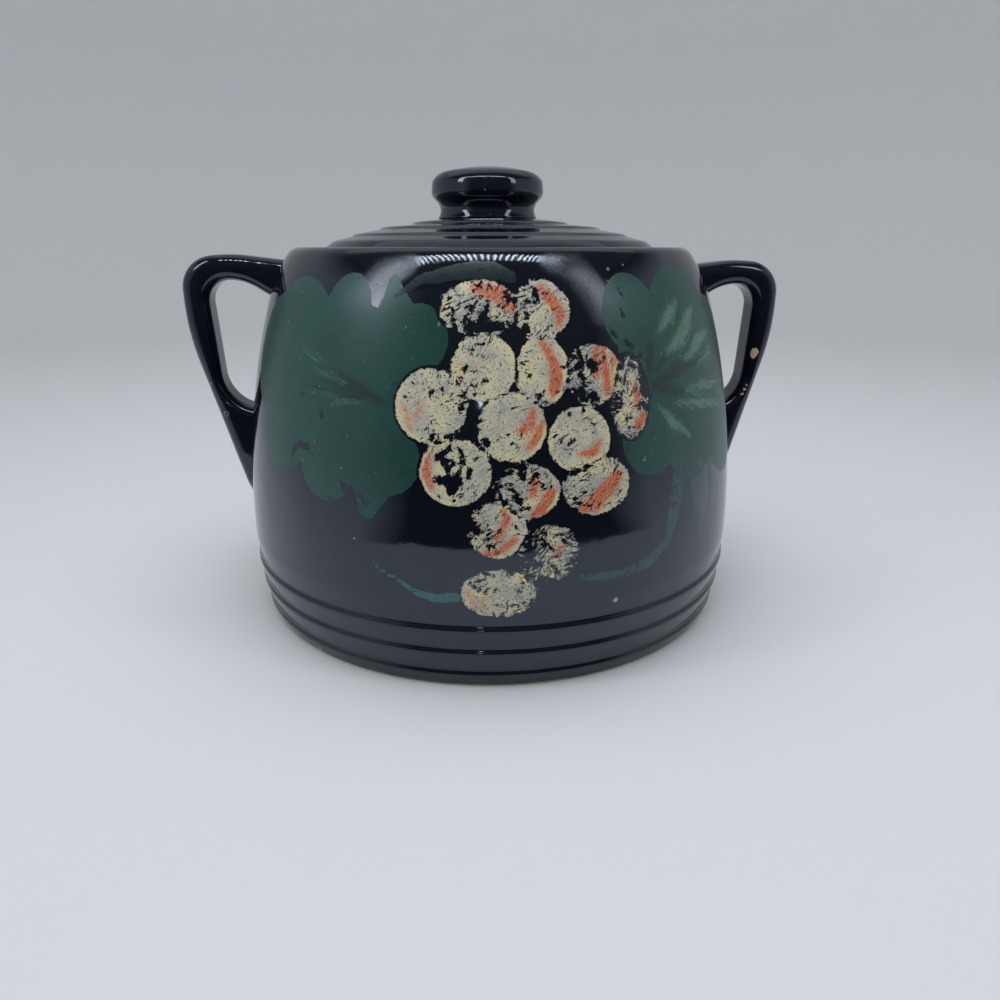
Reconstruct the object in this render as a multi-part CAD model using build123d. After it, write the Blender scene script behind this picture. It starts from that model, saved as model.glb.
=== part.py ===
from build123d import *

import os
from math import cos, radians, sqrt, tan

# Stoneware bean pot with two ear handles and a loose, knobbed lid, in millimetres.
# Origin: centre of the foot, on the table. +Z up, the handles along X, the decorated side towards -Y.

# ---- pot wall: a long arc above the belly, a tighter one below it, a shoulder that rolls into the lip ----
RIM_HEIGHT = 126.0
BELLY_RADIUS = 89.0
BELLY_HEIGHT = 31.0
WALL_ARC_RADIUS = 265.0
LOWER_ARC_RADIUS = 122.0
SHOULDER_DROP = 16.0         # where the shoulder leaves the wall's arc, below the lip's crest
LIP_CREST_INSET = 11.2       # from the shoulder's start in to the crest
LIP_ROUND_RADIUS = 5.0       # radius of the lip's outer round
WALL = 6.0                   # thickness of the wall, measured square to the arcs
FLOOR = 6.5
INNER_CORNER_RADIUS = 14.0

# ---- raised bands round the foot, lapped like shingles ----
BAND_COUNT = 3
BAND_PITCH = 8.0
LOWEST_BAND_HEIGHT = 4.5
BAND_PROUD = 0.45
BAND_TUCK = 0.55
BAND_LEDGE_RISE = 1.3
BAND_SOFTENING = 0.45        # radius that the glaze leaves on each band's edges
BAND_MERGE_BULGE = 0.1       # rise of the wall's start over the topmost band

# ---- foot ring ----
FOOT_RING_WIDTH = 12.0
FOOT_RECESS_DEPTH = 2.5
FOOT_EDGE_RADIUS = 1.0

# ---- gallery: the stepped seat for the lid, inside the lip ----
GALLERY_LIP_WIDTH = 3.55     # from the lip's crest in to the gallery's wall
GALLERY_DEPTH = 7.0
GALLERY_LIP_ROUND = 2.4
LEDGE_WIDTH = 7.2
THROAT_HEIGHT = 5.5
THROAT_EDGE_ROUND = 1.2
GALLERY_ROOT_DROP = 24.0     # where the gallery's underside meets the inner wall, below the crest

# ---- lid: a domed disc with tiers, which drops into the gallery ----
LID_CLEARANCE = 0.8          # on the radius, in the gallery and in the throat
LID_THICKNESS = 5.6
LID_CROWN_RISE = 9.3         # crown of the lid above the lip's crest
LID_DOME_DROP = 7.4          # from the crown down to the edge of the last tier
LID_DOME_POWER = 2.6
TIER_INSETS = (34.4, 23.4, 13.9, 6.9)    # the tiers' edges, in from the lid's edge
TIER_STEP = 0.7
TIER_STEP_RUN = 0.8
TIER_SOFTENING = 0.35
LID_ROLL_BULGE = 0.45        # rise of the rounded edge over its chord
LID_EDGE_HEIGHT = 2.2        # upright part of the lid's edge, above the seat
LID_EDGE_ROUND = 0.8
LID_CEILING_RISE = 1.6       # rise of the hollow underside over its chord
FLANGE_DEPTH = 6.5
FLANGE_WIDTH = 5.0
FLANGE_ROUND = 1.5

# ---- knob, cast hollow in a two-part mould and luted to the lid's crown ----
KNOB_RADIUS = 19.65
KNOB_HEIGHT = 16.9
KNOB_NECK_RADIUS = 16.5
KNOB_NECK_HEIGHT = 3.1
KNOB_BASE_RADIUS = 17.6
KNOB_HEAD_BOTTOM = 6.6       # height of the head's lower edge above the crown
KNOB_HEAD_TUCK = 0.75
KNOB_LOWER_EDGE = 1.7        # height of the slanted edge under the head
KNOB_HEAD_TAPER = 0.3
KNOB_SHOULDER_HEIGHT = 12.0
KNOB_SHOULDER_INSET = 5.4    # from the head's widest line in to the edge of its flat dome
KNOB_SHOULDER_BULGE = 0.8
KNOB_DOME_RADIUS = 65.0
KNOB_EDGE_ROUND = 1.1
KNOB_CAVITY_RADIUS = 8.5
KNOB_CAVITY_DEPTH = 10.5
KNOB_CAVITY_ROUND = 4.0
KNOB_OFFSET = -0.8           # along X: luted on by hand, a little off the crown's centre

# ---- ear handles ----
HANDLE_WIDTH = 15.0
HANDLE_EDGE_ROUND = 2.6
HANDLE_OVERHANG = 17.3       # from the belly out to the outside of the ear
HANDLE_TOP_DROP = 3.2        # top of the ear below the lip's crest
HANDLE_TOP_SLOPE = 7.0       # degrees that the top arm rises away from the pot
HANDLE_TOP_RUN = 11.5        # how far that slope runs out from the shoulder's start
HANDLE_TOP_BEND = 50.0
HANDLE_CORNER_DROP = 1.2     # how far the top arm has sunk again at its outer corner
HANDLE_CORNER_RADIUS = 11.5
HANDLE_SPINE_LENGTH = 26.0   # upright stretch of the outside, to the start of its lean
HANDLE_SPINE_BEND = 80.0
HANDLE_LEAN = 15.0           # degrees that the lower arm leans in
HANDLE_TAIL_HEIGHT = 34.0
HANDLE_TAIL_TURN = 8.0       # height over which the tail turns in to the wall
HANDLE_TAIL_BEND = 12.0
HANDLE_TAIL_SINK = 1.0       # how far the tail's corner lies inside the wall
TOP_ARM_THICKNESS = 8.6
SPINE_THICKNESS = 8.1
OPENING_LEAN = 3.1           # degrees that the opening's outer side leans in
OPENING_BOTTOM_HEIGHT = 69.7
OPENING_ROOT_LENGTH = 10.1   # slanted underside of the top arm, out from the shoulder's start
OPENING_ROOT_SLOPE = 32.5    # degrees
OPENING_ROOT_BEND = 18.0
OPENING_CORNER_RADIUS = 7.5
OPENING_BOTTOM_RADIUS = 13.0
HANDLE_ROOT_OVERRUN = 14.0   # stock inside the wall, before the root is cut to the wall's curve
OPENING_OVERRUN = 5.0        # how far the opening is cut past the wall's surface
SIDE_LEFT_FOR_ROUNDS = 0.99  # share of a side that the rounds at its two ends may take
HANDLE_ANGLES = {"handle_left": 180.0, "handle_right": 0.0}
HANDLE_LIFTS = {"handle_left": 1.1, "handle_right": -1.1}    # luted on by hand, so not quite level


def wall_radius(height, inset=0.0):
    """Radius of the pot's smooth outer wall at a height, or of a surface that lies inset from it."""
    bend = LOWER_ARC_RADIUS if height < BELLY_HEIGHT else WALL_ARC_RADIUS
    bend -= inset
    return BELLY_RADIUS - inset - bend + sqrt(bend**2 - (height - BELLY_HEIGHT) ** 2)


def wall_arc(low, high, inset=0.0):
    """Arc of the wall between two heights on one side of the belly, drawn upwards."""
    points = [(wall_radius(z, inset), z) for z in (low, (low + high) / 2, high)]
    return ThreePointArc(*points)


def bulged_arc(start, end, rise):
    """Arc from start to end whose middle stands to the right of the chord by rise."""
    chord = Vector(*end) - Vector(*start)
    middle = (Vector(*start) + Vector(*end)) / 2 + Vector(chord.Y, -chord.X) * (rise / chord.length)
    return ThreePointArc(start, middle, end)


def band_points():
    """Outline of the bands from the foot up: each is a ridge, then a short ledge back to the wall."""
    points = []
    for step in range(BAND_COUNT):
        ridge = LOWEST_BAND_HEIGHT + step * BAND_PITCH
        ledge = ridge + BAND_LEDGE_RISE
        points.append((wall_radius(ridge) + BAND_PROUD, ridge))
        points.append((wall_radius(ledge) - BAND_TUCK, ledge))
    return points


FOOT_RADIUS = wall_radius(0)
BANDS_TOP = LOWEST_BAND_HEIGHT + (BAND_COUNT - 1) * BAND_PITCH + BAND_LEDGE_RISE
SHOULDER_START = RIM_HEIGHT - SHOULDER_DROP
LIP_CREST = (wall_radius(SHOULDER_START) - LIP_CREST_INSET, RIM_HEIGHT)
GALLERY_RADIUS = LIP_CREST[0] - GALLERY_LIP_WIDTH
THROAT_RADIUS = GALLERY_RADIUS - LEDGE_WIDTH
SEAT_HEIGHT = RIM_HEIGHT - GALLERY_DEPTH
FLOOR_HEIGHT = FOOT_RECESS_DEPTH + FLOOR


def lip_start(shoulder, outward):
    """Where the shoulder's arc, tangent to the wall, runs into the lip's round, tangent to it as well."""
    lip_centre = Vector(LIP_CREST[0], RIM_HEIGHT - LIP_ROUND_RADIUS)
    across = shoulder - lip_centre
    excess = across.dot(across) - LIP_ROUND_RADIUS**2
    shoulder_radius = excess / (2 * (across.dot(outward) - LIP_ROUND_RADIUS))
    shoulder_centre = shoulder - outward * shoulder_radius
    return lip_centre + (lip_centre - shoulder_centre).normalized() * LIP_ROUND_RADIUS


def outer_outline():
    """The pot's outside in half section, from the foot's outer edge to the lip's crest."""
    foot_edge = (FOOT_RADIUS, FOOT_EDGE_RADIUS)
    bands = band_points()
    merge = (wall_radius(BELLY_HEIGHT), BELLY_HEIGHT)
    shoulder = Vector(wall_radius(SHOULDER_START), SHOULDER_START)
    rise = (SHOULDER_START - BELLY_HEIGHT) / WALL_ARC_RADIUS
    outward = Vector(sqrt(1 - rise**2), rise)
    lip = lip_start(shoulder, outward)
    return (
        Curve()
        + Polyline(foot_edge, *bands)
        + bulged_arc(bands[-1], merge, BAND_MERGE_BULGE)
        + wall_arc(BELLY_HEIGHT, SHOULDER_START)
        + TangentArc(shoulder, lip, tangent=(-outward.Y, outward.X))
        + TangentArc(LIP_CREST, lip, tangent=(1, 0))
    )


def pot_envelope():
    """The pot's outside as a filled solid, used to cut the handles' roots to the wall."""
    edge = (FOOT_RADIUS, FOOT_EDGE_RADIUS)
    outline = outer_outline() + Polyline(LIP_CREST, (0, RIM_HEIGHT), (0, 0), (FOOT_RADIUS, 0), edge)
    return revolve(Plane.XZ * make_face(outline), Axis.Z)


def pot_body():
    ring_inner = FOOT_RADIUS - FOOT_RING_WIDTH
    root_height = RIM_HEIGHT - GALLERY_ROOT_DROP
    seat_drop = SEAT_HEIGHT - THROAT_HEIGHT
    inner_foot = wall_radius(FLOOR_HEIGHT, WALL)
    lip_inside = (GALLERY_RADIUS, RIM_HEIGHT - GALLERY_LIP_ROUND)
    outline = (
        outer_outline()
        + TangentArc(LIP_CREST, lip_inside, tangent=(-1, 0))
        + Polyline(
            lip_inside,
            (GALLERY_RADIUS, SEAT_HEIGHT),
            (THROAT_RADIUS, SEAT_HEIGHT),
            (THROAT_RADIUS, seat_drop),
            (wall_radius(root_height, WALL), root_height),
        )
        + wall_arc(BELLY_HEIGHT, root_height, WALL)
        + wall_arc(FLOOR_HEIGHT, BELLY_HEIGHT, WALL)
        + Polyline(
            (inner_foot, FLOOR_HEIGHT),
            (0, FLOOR_HEIGHT),
            (0, FOOT_RECESS_DEPTH),
            (ring_inner - FOOT_RECESS_DEPTH, FOOT_RECESS_DEPTH),
            (ring_inner, 0),
            (FOOT_RADIUS, 0),
            (FOOT_RADIUS, FOOT_EDGE_RADIUS),
        )
    )
    section = make_face(outline)
    section = round_corners(section, band_points(), BAND_SOFTENING)
    section = round_corners(section, [(FOOT_RADIUS, 0), (ring_inner, 0)], FOOT_EDGE_RADIUS * 0.9)
    section = round_corners(section, [(inner_foot, FLOOR_HEIGHT)], INNER_CORNER_RADIUS)
    throat_edges = [(THROAT_RADIUS, SEAT_HEIGHT), (THROAT_RADIUS, seat_drop)]
    section = round_corners(section, throat_edges, THROAT_EDGE_ROUND)
    return revolve(Plane.XZ * section, Axis.Z)


def round_corners(section, corners, radius):
    """Fillets the corners of a flat section that lie at the given points."""
    wanted = [Vector(*corner) for corner in corners]
    near = [v for v in section.vertices() if any((Vector(v) - c).length < 1e-3 for c in wanted)]
    return fillet(near, radius)


CROWN_HEIGHT = RIM_HEIGHT + LID_CROWN_RISE
LID_RADIUS = GALLERY_RADIUS - LID_CLEARANCE
TIER_RADII = [LID_RADIUS - inset for inset in TIER_INSETS]


def dome_height(radius):
    """Height of the lid's dome, on which the edges of its tiers lie."""
    return CROWN_HEIGHT - LID_DOME_DROP * (radius / TIER_RADII[-1]) ** LID_DOME_POWER


def lid():
    flange_outer = THROAT_RADIUS - LID_CLEARANCE
    flange_inner = flange_outer - FLANGE_WIDTH
    flange_bottom = SEAT_HEIGHT - FLANGE_DEPTH
    tiers = []
    for edge in TIER_RADII[:-1]:
        tiers.append((edge, dome_height(edge)))
        tiers.append((edge + TIER_STEP_RUN, dome_height(edge) - TIER_STEP))
    tiers.append((TIER_RADII[-1], dome_height(TIER_RADII[-1])))
    edge_top = (LID_RADIUS, SEAT_HEIGHT + LID_EDGE_HEIGHT)
    ceiling = CROWN_HEIGHT - LID_THICKNESS
    ceiling_edge = (flange_inner, dome_height(flange_inner) - LID_THICKNESS)
    outline = (
        Curve()
        + Polyline((KNOB_CAVITY_RADIUS, CROWN_HEIGHT), (KNOB_BASE_RADIUS, CROWN_HEIGHT), *tiers)
        + bulged_arc(edge_top, tiers[-1], LID_ROLL_BULGE)
        + Polyline(
            edge_top,
            (LID_RADIUS, SEAT_HEIGHT),
            (flange_outer, SEAT_HEIGHT),
            (flange_outer, flange_bottom),
            (flange_inner, flange_bottom),
            ceiling_edge,
        )
        + bulged_arc(ceiling_edge, (KNOB_CAVITY_RADIUS, ceiling), LID_CEILING_RISE)
        + Polyline((KNOB_CAVITY_RADIUS, ceiling), (KNOB_CAVITY_RADIUS, CROWN_HEIGHT))
    )
    section = make_face(outline)
    section = round_corners(section, tiers, TIER_SOFTENING)
    section = round_corners(section, [(LID_RADIUS, SEAT_HEIGHT)], LID_EDGE_ROUND)
    flange_foot = [(flange_outer, flange_bottom), (flange_inner, flange_bottom)]
    section = round_corners(section, flange_foot, FLANGE_ROUND)
    return revolve(Plane.XZ * section, Axis.Z)


def lid_knob():
    """A flat-domed head over a waisted neck, hollow from below, with its foot on the lid's crown."""
    base = CROWN_HEIGHT
    top = base + KNOB_HEIGHT
    dome_edge_radius = KNOB_RADIUS - KNOB_SHOULDER_INSET
    dome_drop = KNOB_DOME_RADIUS - sqrt(KNOB_DOME_RADIUS**2 - dome_edge_radius**2)
    dome_edge = (dome_edge_radius, top - dome_drop)
    shoulder = (KNOB_RADIUS - KNOB_HEAD_TAPER, base + KNOB_SHOULDER_HEIGHT)
    head_side = (KNOB_RADIUS, base + KNOB_HEAD_BOTTOM + KNOB_LOWER_EDGE)
    head_bottom = (KNOB_RADIUS - KNOB_HEAD_TUCK, base + KNOB_HEAD_BOTTOM)
    neck = (KNOB_NECK_RADIUS, base + KNOB_NECK_HEIGHT)
    cavity_top = base + KNOB_CAVITY_DEPTH
    outline = (
        Curve()
        + ThreePointArc((KNOB_BASE_RADIUS, base), neck, head_bottom)
        + Polyline(head_bottom, head_side, shoulder)
        + bulged_arc(shoulder, dome_edge, KNOB_SHOULDER_BULGE)
        + TangentArc((0, top), dome_edge, tangent=(1, 0))
        + Polyline(
            (0, top),
            (0, cavity_top),
            (KNOB_CAVITY_RADIUS, cavity_top),
            (KNOB_CAVITY_RADIUS, base),
            (KNOB_BASE_RADIUS, base),
        )
    )
    section = make_face(outline)
    section = round_corners(section, [head_bottom, head_side], KNOB_EDGE_ROUND)
    section = round_corners(section, [(KNOB_CAVITY_RADIUS, cavity_top)], KNOB_CAVITY_ROUND)
    return Pos(KNOB_OFFSET, 0, 0) * revolve(Plane.XZ * section, Axis.Z)


HANDLE_TOP = RIM_HEIGHT - HANDLE_TOP_DROP
HANDLE_REACH = BELLY_RADIUS + HANDLE_OVERHANG
OPENING_TOP = HANDLE_TOP - TOP_ARM_THICKNESS
SPINE_END = HANDLE_TOP - HANDLE_SPINE_LENGTH


def spine_reach(height):
    """How far out the ear's outside lies at a height, without its rounded corners."""
    return HANDLE_REACH - max(0, SPINE_END - height) * tan(radians(HANDLE_LEAN))


def handle_outline():
    """Outside of the ear as corners with radii, from inside the wall, over the top and down to the tail."""
    root = wall_radius(SHOULDER_START) - HANDLE_ROOT_OVERRUN
    level = wall_radius(SHOULDER_START) + HANDLE_TOP_RUN
    root_drop = (level - root) * tan(radians(HANDLE_TOP_SLOPE))
    turn = HANDLE_TAIL_HEIGHT + HANDLE_TAIL_TURN
    tail = wall_radius(HANDLE_TAIL_HEIGHT) - HANDLE_TAIL_SINK
    return [
        ((root, HANDLE_TOP - root_drop), 0),
        ((level, HANDLE_TOP), HANDLE_TOP_BEND),
        ((HANDLE_REACH, HANDLE_TOP - HANDLE_CORNER_DROP), HANDLE_CORNER_RADIUS),
        ((HANDLE_REACH, SPINE_END), HANDLE_SPINE_BEND),
        ((spine_reach(turn), turn), HANDLE_TAIL_BEND),
        ((tail, HANDLE_TAIL_HEIGHT), 0),
        ((root, HANDLE_TAIL_HEIGHT), 0),
    ]


def opening_outline():
    """The finger opening as corners with radii. Its inner side lies inside the wall."""
    slope = radians(OPENING_ROOT_SLOPE)
    root_start = wall_radius(SHOULDER_START) - OPENING_OVERRUN
    root_end = wall_radius(SHOULDER_START) + OPENING_ROOT_LENGTH * cos(slope)
    root_drop = (root_end - root_start) * tan(slope)
    side = HANDLE_REACH - SPINE_THICKNESS
    lean_in = (OPENING_TOP - OPENING_BOTTOM_HEIGHT) * tan(radians(OPENING_LEAN))
    return [
        ((root_start, OPENING_TOP - root_drop), 0),
        ((root_end, OPENING_TOP), OPENING_ROOT_BEND),
        ((side, OPENING_TOP), OPENING_CORNER_RADIUS),
        ((side - lean_in, OPENING_BOTTOM_HEIGHT), OPENING_BOTTOM_RADIUS),
        ((wall_radius(OPENING_BOTTOM_HEIGHT) - OPENING_OVERRUN, OPENING_BOTTOM_HEIGHT), 0),
    ]


def fitting_radii(corners):
    """The corners' radii, made smaller where two neighbouring rounds need more than the side they share."""
    count = len(corners)
    points = [Vector(*point) for point, _ in corners]
    sides = [points[(i + 1) % count] - points[i] for i in range(count)]
    turns = [radians(sides[i - 1].get_angle(sides[i])) for i in range(count)]
    needs = [radius * tan(turn / 2) for (_, radius), turn in zip(corners, turns)]
    shares = [1.0] * count
    for i, side in enumerate(sides):
        j = (i + 1) % count
        share = SIDE_LEFT_FOR_ROUNDS * side.length / max(needs[i] + needs[j], side.length)
        if needs[i] + needs[j] > SIDE_LEFT_FOR_ROUNDS * side.length:
            shares[i] = min(shares[i], share)
            shares[j] = min(shares[j], share)
    return [radius * share for (_, radius), share in zip(corners, shares)]


def rounded_face(corners):
    """Flat face on XZ from corners, each rounded by its own radius."""
    section = make_face(Polyline(*[point for point, _ in corners], close=True))
    for (point, _), radius in zip(corners, fitting_radii(corners)):
        if radius:
            section = round_corners(section, [point], radius)
    return Plane.XZ * section


def handle(angle, lift):
    """An ear cut from a slab of the handle's width, its edges rounded and its roots cut to the wall."""
    ear = extrude(rounded_face(handle_outline()), HANDLE_WIDTH / 2, both=True)
    ear -= extrude(rounded_face(opening_outline()), HANDLE_WIDTH, both=True)
    side_faces = ear.faces().filter_by(Axis.Y)
    ear = Pos(0, 0, lift) * fillet(side_faces.edges(), HANDLE_EDGE_ROUND)
    ear -= pot_envelope()
    return Rot(0, 0, angle) * ear


def main():
    os.makedirs("parts", exist_ok=True)
    nodes = {"pot_body": pot_body(), "lid": lid(), "lid_knob": lid_knob()}
    for name, angle in HANDLE_ANGLES.items():
        nodes[name] = handle(angle, HANDLE_LIFTS[name])
    for name, shape in nodes.items():
        export_step(shape, f"parts/{name}.step")


main()
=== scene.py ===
"""Glazed and painted surfaces for a stoneware bean pot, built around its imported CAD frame."""
import math

import bpy
import numpy as np
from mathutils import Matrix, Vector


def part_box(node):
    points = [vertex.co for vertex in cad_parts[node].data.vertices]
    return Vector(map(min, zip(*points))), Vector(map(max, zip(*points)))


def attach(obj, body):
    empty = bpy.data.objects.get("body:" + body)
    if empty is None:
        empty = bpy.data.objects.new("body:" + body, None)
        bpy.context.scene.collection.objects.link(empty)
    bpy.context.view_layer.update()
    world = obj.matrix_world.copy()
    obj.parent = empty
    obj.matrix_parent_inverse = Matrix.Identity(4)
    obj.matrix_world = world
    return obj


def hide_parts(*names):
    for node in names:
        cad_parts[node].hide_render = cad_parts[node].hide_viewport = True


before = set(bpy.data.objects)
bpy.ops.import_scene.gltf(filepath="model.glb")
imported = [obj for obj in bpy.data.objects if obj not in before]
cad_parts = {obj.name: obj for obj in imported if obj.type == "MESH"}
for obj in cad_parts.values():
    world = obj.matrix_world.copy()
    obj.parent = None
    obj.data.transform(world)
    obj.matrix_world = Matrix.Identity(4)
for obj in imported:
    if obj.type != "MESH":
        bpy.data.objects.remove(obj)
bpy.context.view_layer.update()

bl_info = {
    "name": "Glazed bean pot",
    "version": (1, 0, 0),
    "blender": (4, 5, 0),
    "location": "View3D > Sidebar > Bean Pot",
    "description": "Glazed, painted surfaces for a lidded stoneware bean pot with ear handles",
    "category": "Add Mesh",
}

MM = 0.001

# What the frame fixes: the pieces stay at these heights and radii whatever the properties say.
RIM_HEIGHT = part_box("pot_body")[1].z
BELLY_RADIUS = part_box("pot_body")[1].y
LID_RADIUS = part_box("lid")[1].y
FLANGE_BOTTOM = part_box("lid")[0].z
CROWN_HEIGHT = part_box("lid")[1].z
KNOB_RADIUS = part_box("lid_knob")[1].y
KNOB_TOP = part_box("lid_knob")[1].z
KNOB_PLACE = (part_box("lid_knob")[0].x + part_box("lid_knob")[1].x) / 2
HANDLE_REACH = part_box("handle_right")[1].x
HANDLE_TOPS = {node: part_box(node)[1].z for node in ("handle_right", "handle_left")}
HANDLE_HALF_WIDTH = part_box("handle_right")[1].y
FLANGE_HEIGHT = 6.5 * MM    # from the seat that the lid lies on down to the flange's edge
SEAT_HEIGHT = FLANGE_BOTTOM + FLANGE_HEIGHT


# ---------------------------------------------------------------- sizes and colours a user may change

def labelled(kind, rows, **settings):
    """Properties of a kind from rows of default and description, each labelled by its key in words."""
    return {key: kind(name=key.replace("_", " ").capitalize(), description=about, default=value, **settings)
            for key, (value, about) in rows.items()}


def lengths(**rows):
    """Lengths, given in millimetres, as properties in metres."""
    rows = {key: (size * MM, about) for key, (size, about) in rows.items()}
    return labelled(bpy.props.FloatProperty, rows, unit="LENGTH", precision=5)


def slopes(**rows):
    """Angles, given in degrees, as properties in radians."""
    rows = {key: (math.radians(slope), about) for key, (slope, about) in rows.items()}
    return labelled(bpy.props.FloatProperty, rows, subtype="ANGLE")


def tones(**rows):
    """Colours given as red, green and blue in linear light."""
    return labelled(bpy.props.FloatVectorProperty, rows, subtype="COLOR", size=3, min=0, max=1)


class BEANPOT_PG_body(bpy.types.PropertyGroup):
    """Sizes of the turned pot."""

    __annotations__ = lengths(
        belly_height=(31.0, "Height of the widest line"),
        wall_arc=(265.0, "Radius of the wall's arc above the belly"),
        lower_arc=(122.0, "Radius of the wall's arc below the belly"),
        wall=(6.0, "Thickness of the wall"),
        shoulder_drop=(16.0, "Start of the shoulder below the lip"),
        lip_inset=(11.2, "From the shoulder's start in to the crest"),
        lip_outer_round=(5.0, "Radius of the lip's outer round"),
        lip_width=(3.55, "From the crest in to the gallery's wall"),
        lip_round=(2.4, "Drop of the lip's inner round"),
        ledge_width=(7.2, "Width of the lid's seat"),
        ledge_thickness=(5.5, "Height of the throat under the seat"),
        ledge_root=(24.0, "Drop from the crest to where the ledge meets the wall"),
        band_pitch=(8.0, "Spacing of the bands round the foot"),
        lowest_band=(4.5, "Height of the lowest band's edge"),
        band_proud=(0.45, "How far a band's edge stands out"),
        band_tuck=(0.7, "How far the wall steps in above a band"),
        band_ledge=(1.2, "Height of the step above a band"),
        foot_ring=(12.0, "Width of the ring that the pot stands on"),
        foot_recess=(2.5, "Depth of the hollow under the floor"),
        floor=(6.5, "Thickness of the floor"),
        glaze_softening=(0.42, "How far the glaze melts every edge"),
        sway=(0.22, "How far the wall strays from a true circle"),
    ) | labelled(
        bpy.props.IntProperty, {"band_count": (3, "Number of bands round the foot")}, min=0, max=6
    )


class BEANPOT_PG_handle(bpy.types.PropertyGroup):
    """Sizes of the ear handles."""

    __annotations__ = lengths(
        corner=(11.5, "Radius of the ear's outer corner"),
        top_run=(11.5, "How far out the top arm rises from the shoulder"),
        top_bend=(50.0, "Radius of the top arm's arch"),
        corner_drop=(1.2, "How far the top arm has sunk again at its corner"),
        spine=(26.0, "Height of the upright stretch of the outside"),
        spine_bend=(80.0, "Radius from the spine into the lean"),
        tail_height=(34.0, "Where the tail meets the wall"),
        tail_turn=(8.0, "Height over which the tail turns in"),
        tail_bend=(12.0, "Radius of the tail's turn"),
        top_arm=(8.6, "Thickness of the top arm"),
        spine_thickness=(8.1, "Thickness of the spine"),
        opening_bottom=(69.7, "Height of the finger gap's lower edge"),
        opening_corner=(7.5, "Radius of the finger gap's upper corner"),
        opening_foot=(13.0, "Radius of the finger gap's lower corner"),
        root_length=(10.1, "Length of the slope of the top arm's underside at the wall"),
        root_bend=(17.64, "Radius from that slope into the underside"),
        edge_round=(2.7, "Radius of the ear's long edges"),
        edge_inset=(1.3, "How much narrower the ear is at its long edges"),
    ) | slopes(
        top_rise=(7.0, "Slope of the top arm away from the pot"),
        lean=(15.0, "How far the lower arm leans in"),
        opening_lean=(3.1, "How far the finger gap's outer side leans in"),
        root_slope=(32.5, "Slope of the top arm's underside at the wall"),
    )


class BEANPOT_PG_lid(bpy.types.PropertyGroup):
    """Sizes of the lid and its knob."""

    __annotations__ = lengths(
        dome_drop=(7.4, "From the crown down to the last tier's edge"),
        tier_step=(0.75, "Height of the step between two tiers"),
        tier_run=(0.8, "Width of the step between two tiers"),
        edge_height=(2.2, "Upright part of the lid's edge"),
        flange_inset=(7.2, "From the lid's edge in to the flange"),
        flange_width=(5.0, "Thickness of the locating flange"),
        thickness=(5.6, "Thickness of the dome"),
        neck_radius=(16.5, "Radius of the knob's waist"),
        neck_height=(3.1, "Height of the knob's waist"),
        knob_base=(17.6, "Radius of the knob's foot"),
        head_bottom=(6.6, "Height of the head's lower edge"),
        knob_seam=(0.16, "How far the mould seam stands out of the knob"),
        cavity_radius=(8.5, "Radius of the hollow in the knob"),
        cavity_depth=(10.5, "Depth of the hollow in the knob"),
        glaze_softening=(0.42, "How far the glaze melts every edge"),
    ) | labelled(
        bpy.props.FloatProperty, {"dome_power": (2.6, "How much of the dome's fall comes near its edge")}
    )


class BEANPOT_PG_colours(bpy.types.PropertyGroup):
    """Colours of the glaze, the clay and the paint."""

    __annotations__ = tones(
        glaze=((0.0035, 0.0050, 0.0095), "Black glaze"),
        clay=((0.52, 0.38, 0.21), "Bare fired clay"),
        ring=((0.22, 0.22, 0.21), "Pale ring that a burst bubble leaves in the glaze"),
        leaf=((0.002, 0.058, 0.038), "Leaf paint"),
        leaf_dark=((0.001, 0.018, 0.014), "Leaf paint where it is thin or brushed dark"),
        # Leaf light also colours one painted highlight line along the right leaf's edge.
        leaf_light=((0.16, 0.34, 0.22), "Pale strokes in the leaves"),
        brush_leaf=((0.006, 0.018, 0.015), "Greyed leaf over the bunch"),
        tendril=((0.026, 0.125, 0.118), "Tendril paint"),
        grape=((0.58, 0.535, 0.38), "Cream grape paint"),
        grape_thin=((0.38, 0.375, 0.325), "Cream paint where it is thin"),
        rim=((0.68, 0.61, 0.33), "Thick cream line round a grape"),
        blush=((0.60, 0.115, 0.024), "Orange-red strokes on the grapes"),
    )


# ---------------------------------------------------------------- the painted ornament, in degrees and mm

# Grapes: azimuth, height, half width, half height, how worn the paint is, and the direction and strength
# in which it gets more worn.
GRAPES = (
    (-6.6, 110.6, 12.0, 7.0, 0.36, -84, 0.08), (6.0, 110.2, 8.7, 7.5, 0.31, -150, 0.04),
    (-5.6, 95.5, 9.4, 8.7, 0.20, 150, 0.08), (5.6, 94.4, 7.9, 9.0, 0.20, -160, 0.12),
    (16.2, 92.8, 9.2, 8.0, 0.36, 190, 0.26), (23.8, 86.0, 6.9, 11.2, 0.38, 180, 0.10),
    (-15.6, 85.2, 10.5, 10.0, 0.22, 20, 0.14), (-0.4, 79.8, 9.6, 9.2, 0.17, 200, 0.09),
    (12.5, 75.7, 9.4, 9.0, 0.16, 130, 0.09), (-10.9, 67.6, 10.0, 9.2, 0.19, 80, 0.05),
    (2.2, 62.2, 9.2, 7.6, 0.38, 150, 0.20), (15.8, 62.6, 10.2, 8.2, 0.34, 150, 0.08),
    (-3.2, 51.5, 8.0, 8.2, 0.28, 170, 0.26), (6.3, 44.2, 8.6, 8.2, 0.56, -160, 0.10),
    (-3.0, 32.6, 10.4, 7.4, 0.30, -30, 0.10),
)
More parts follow.
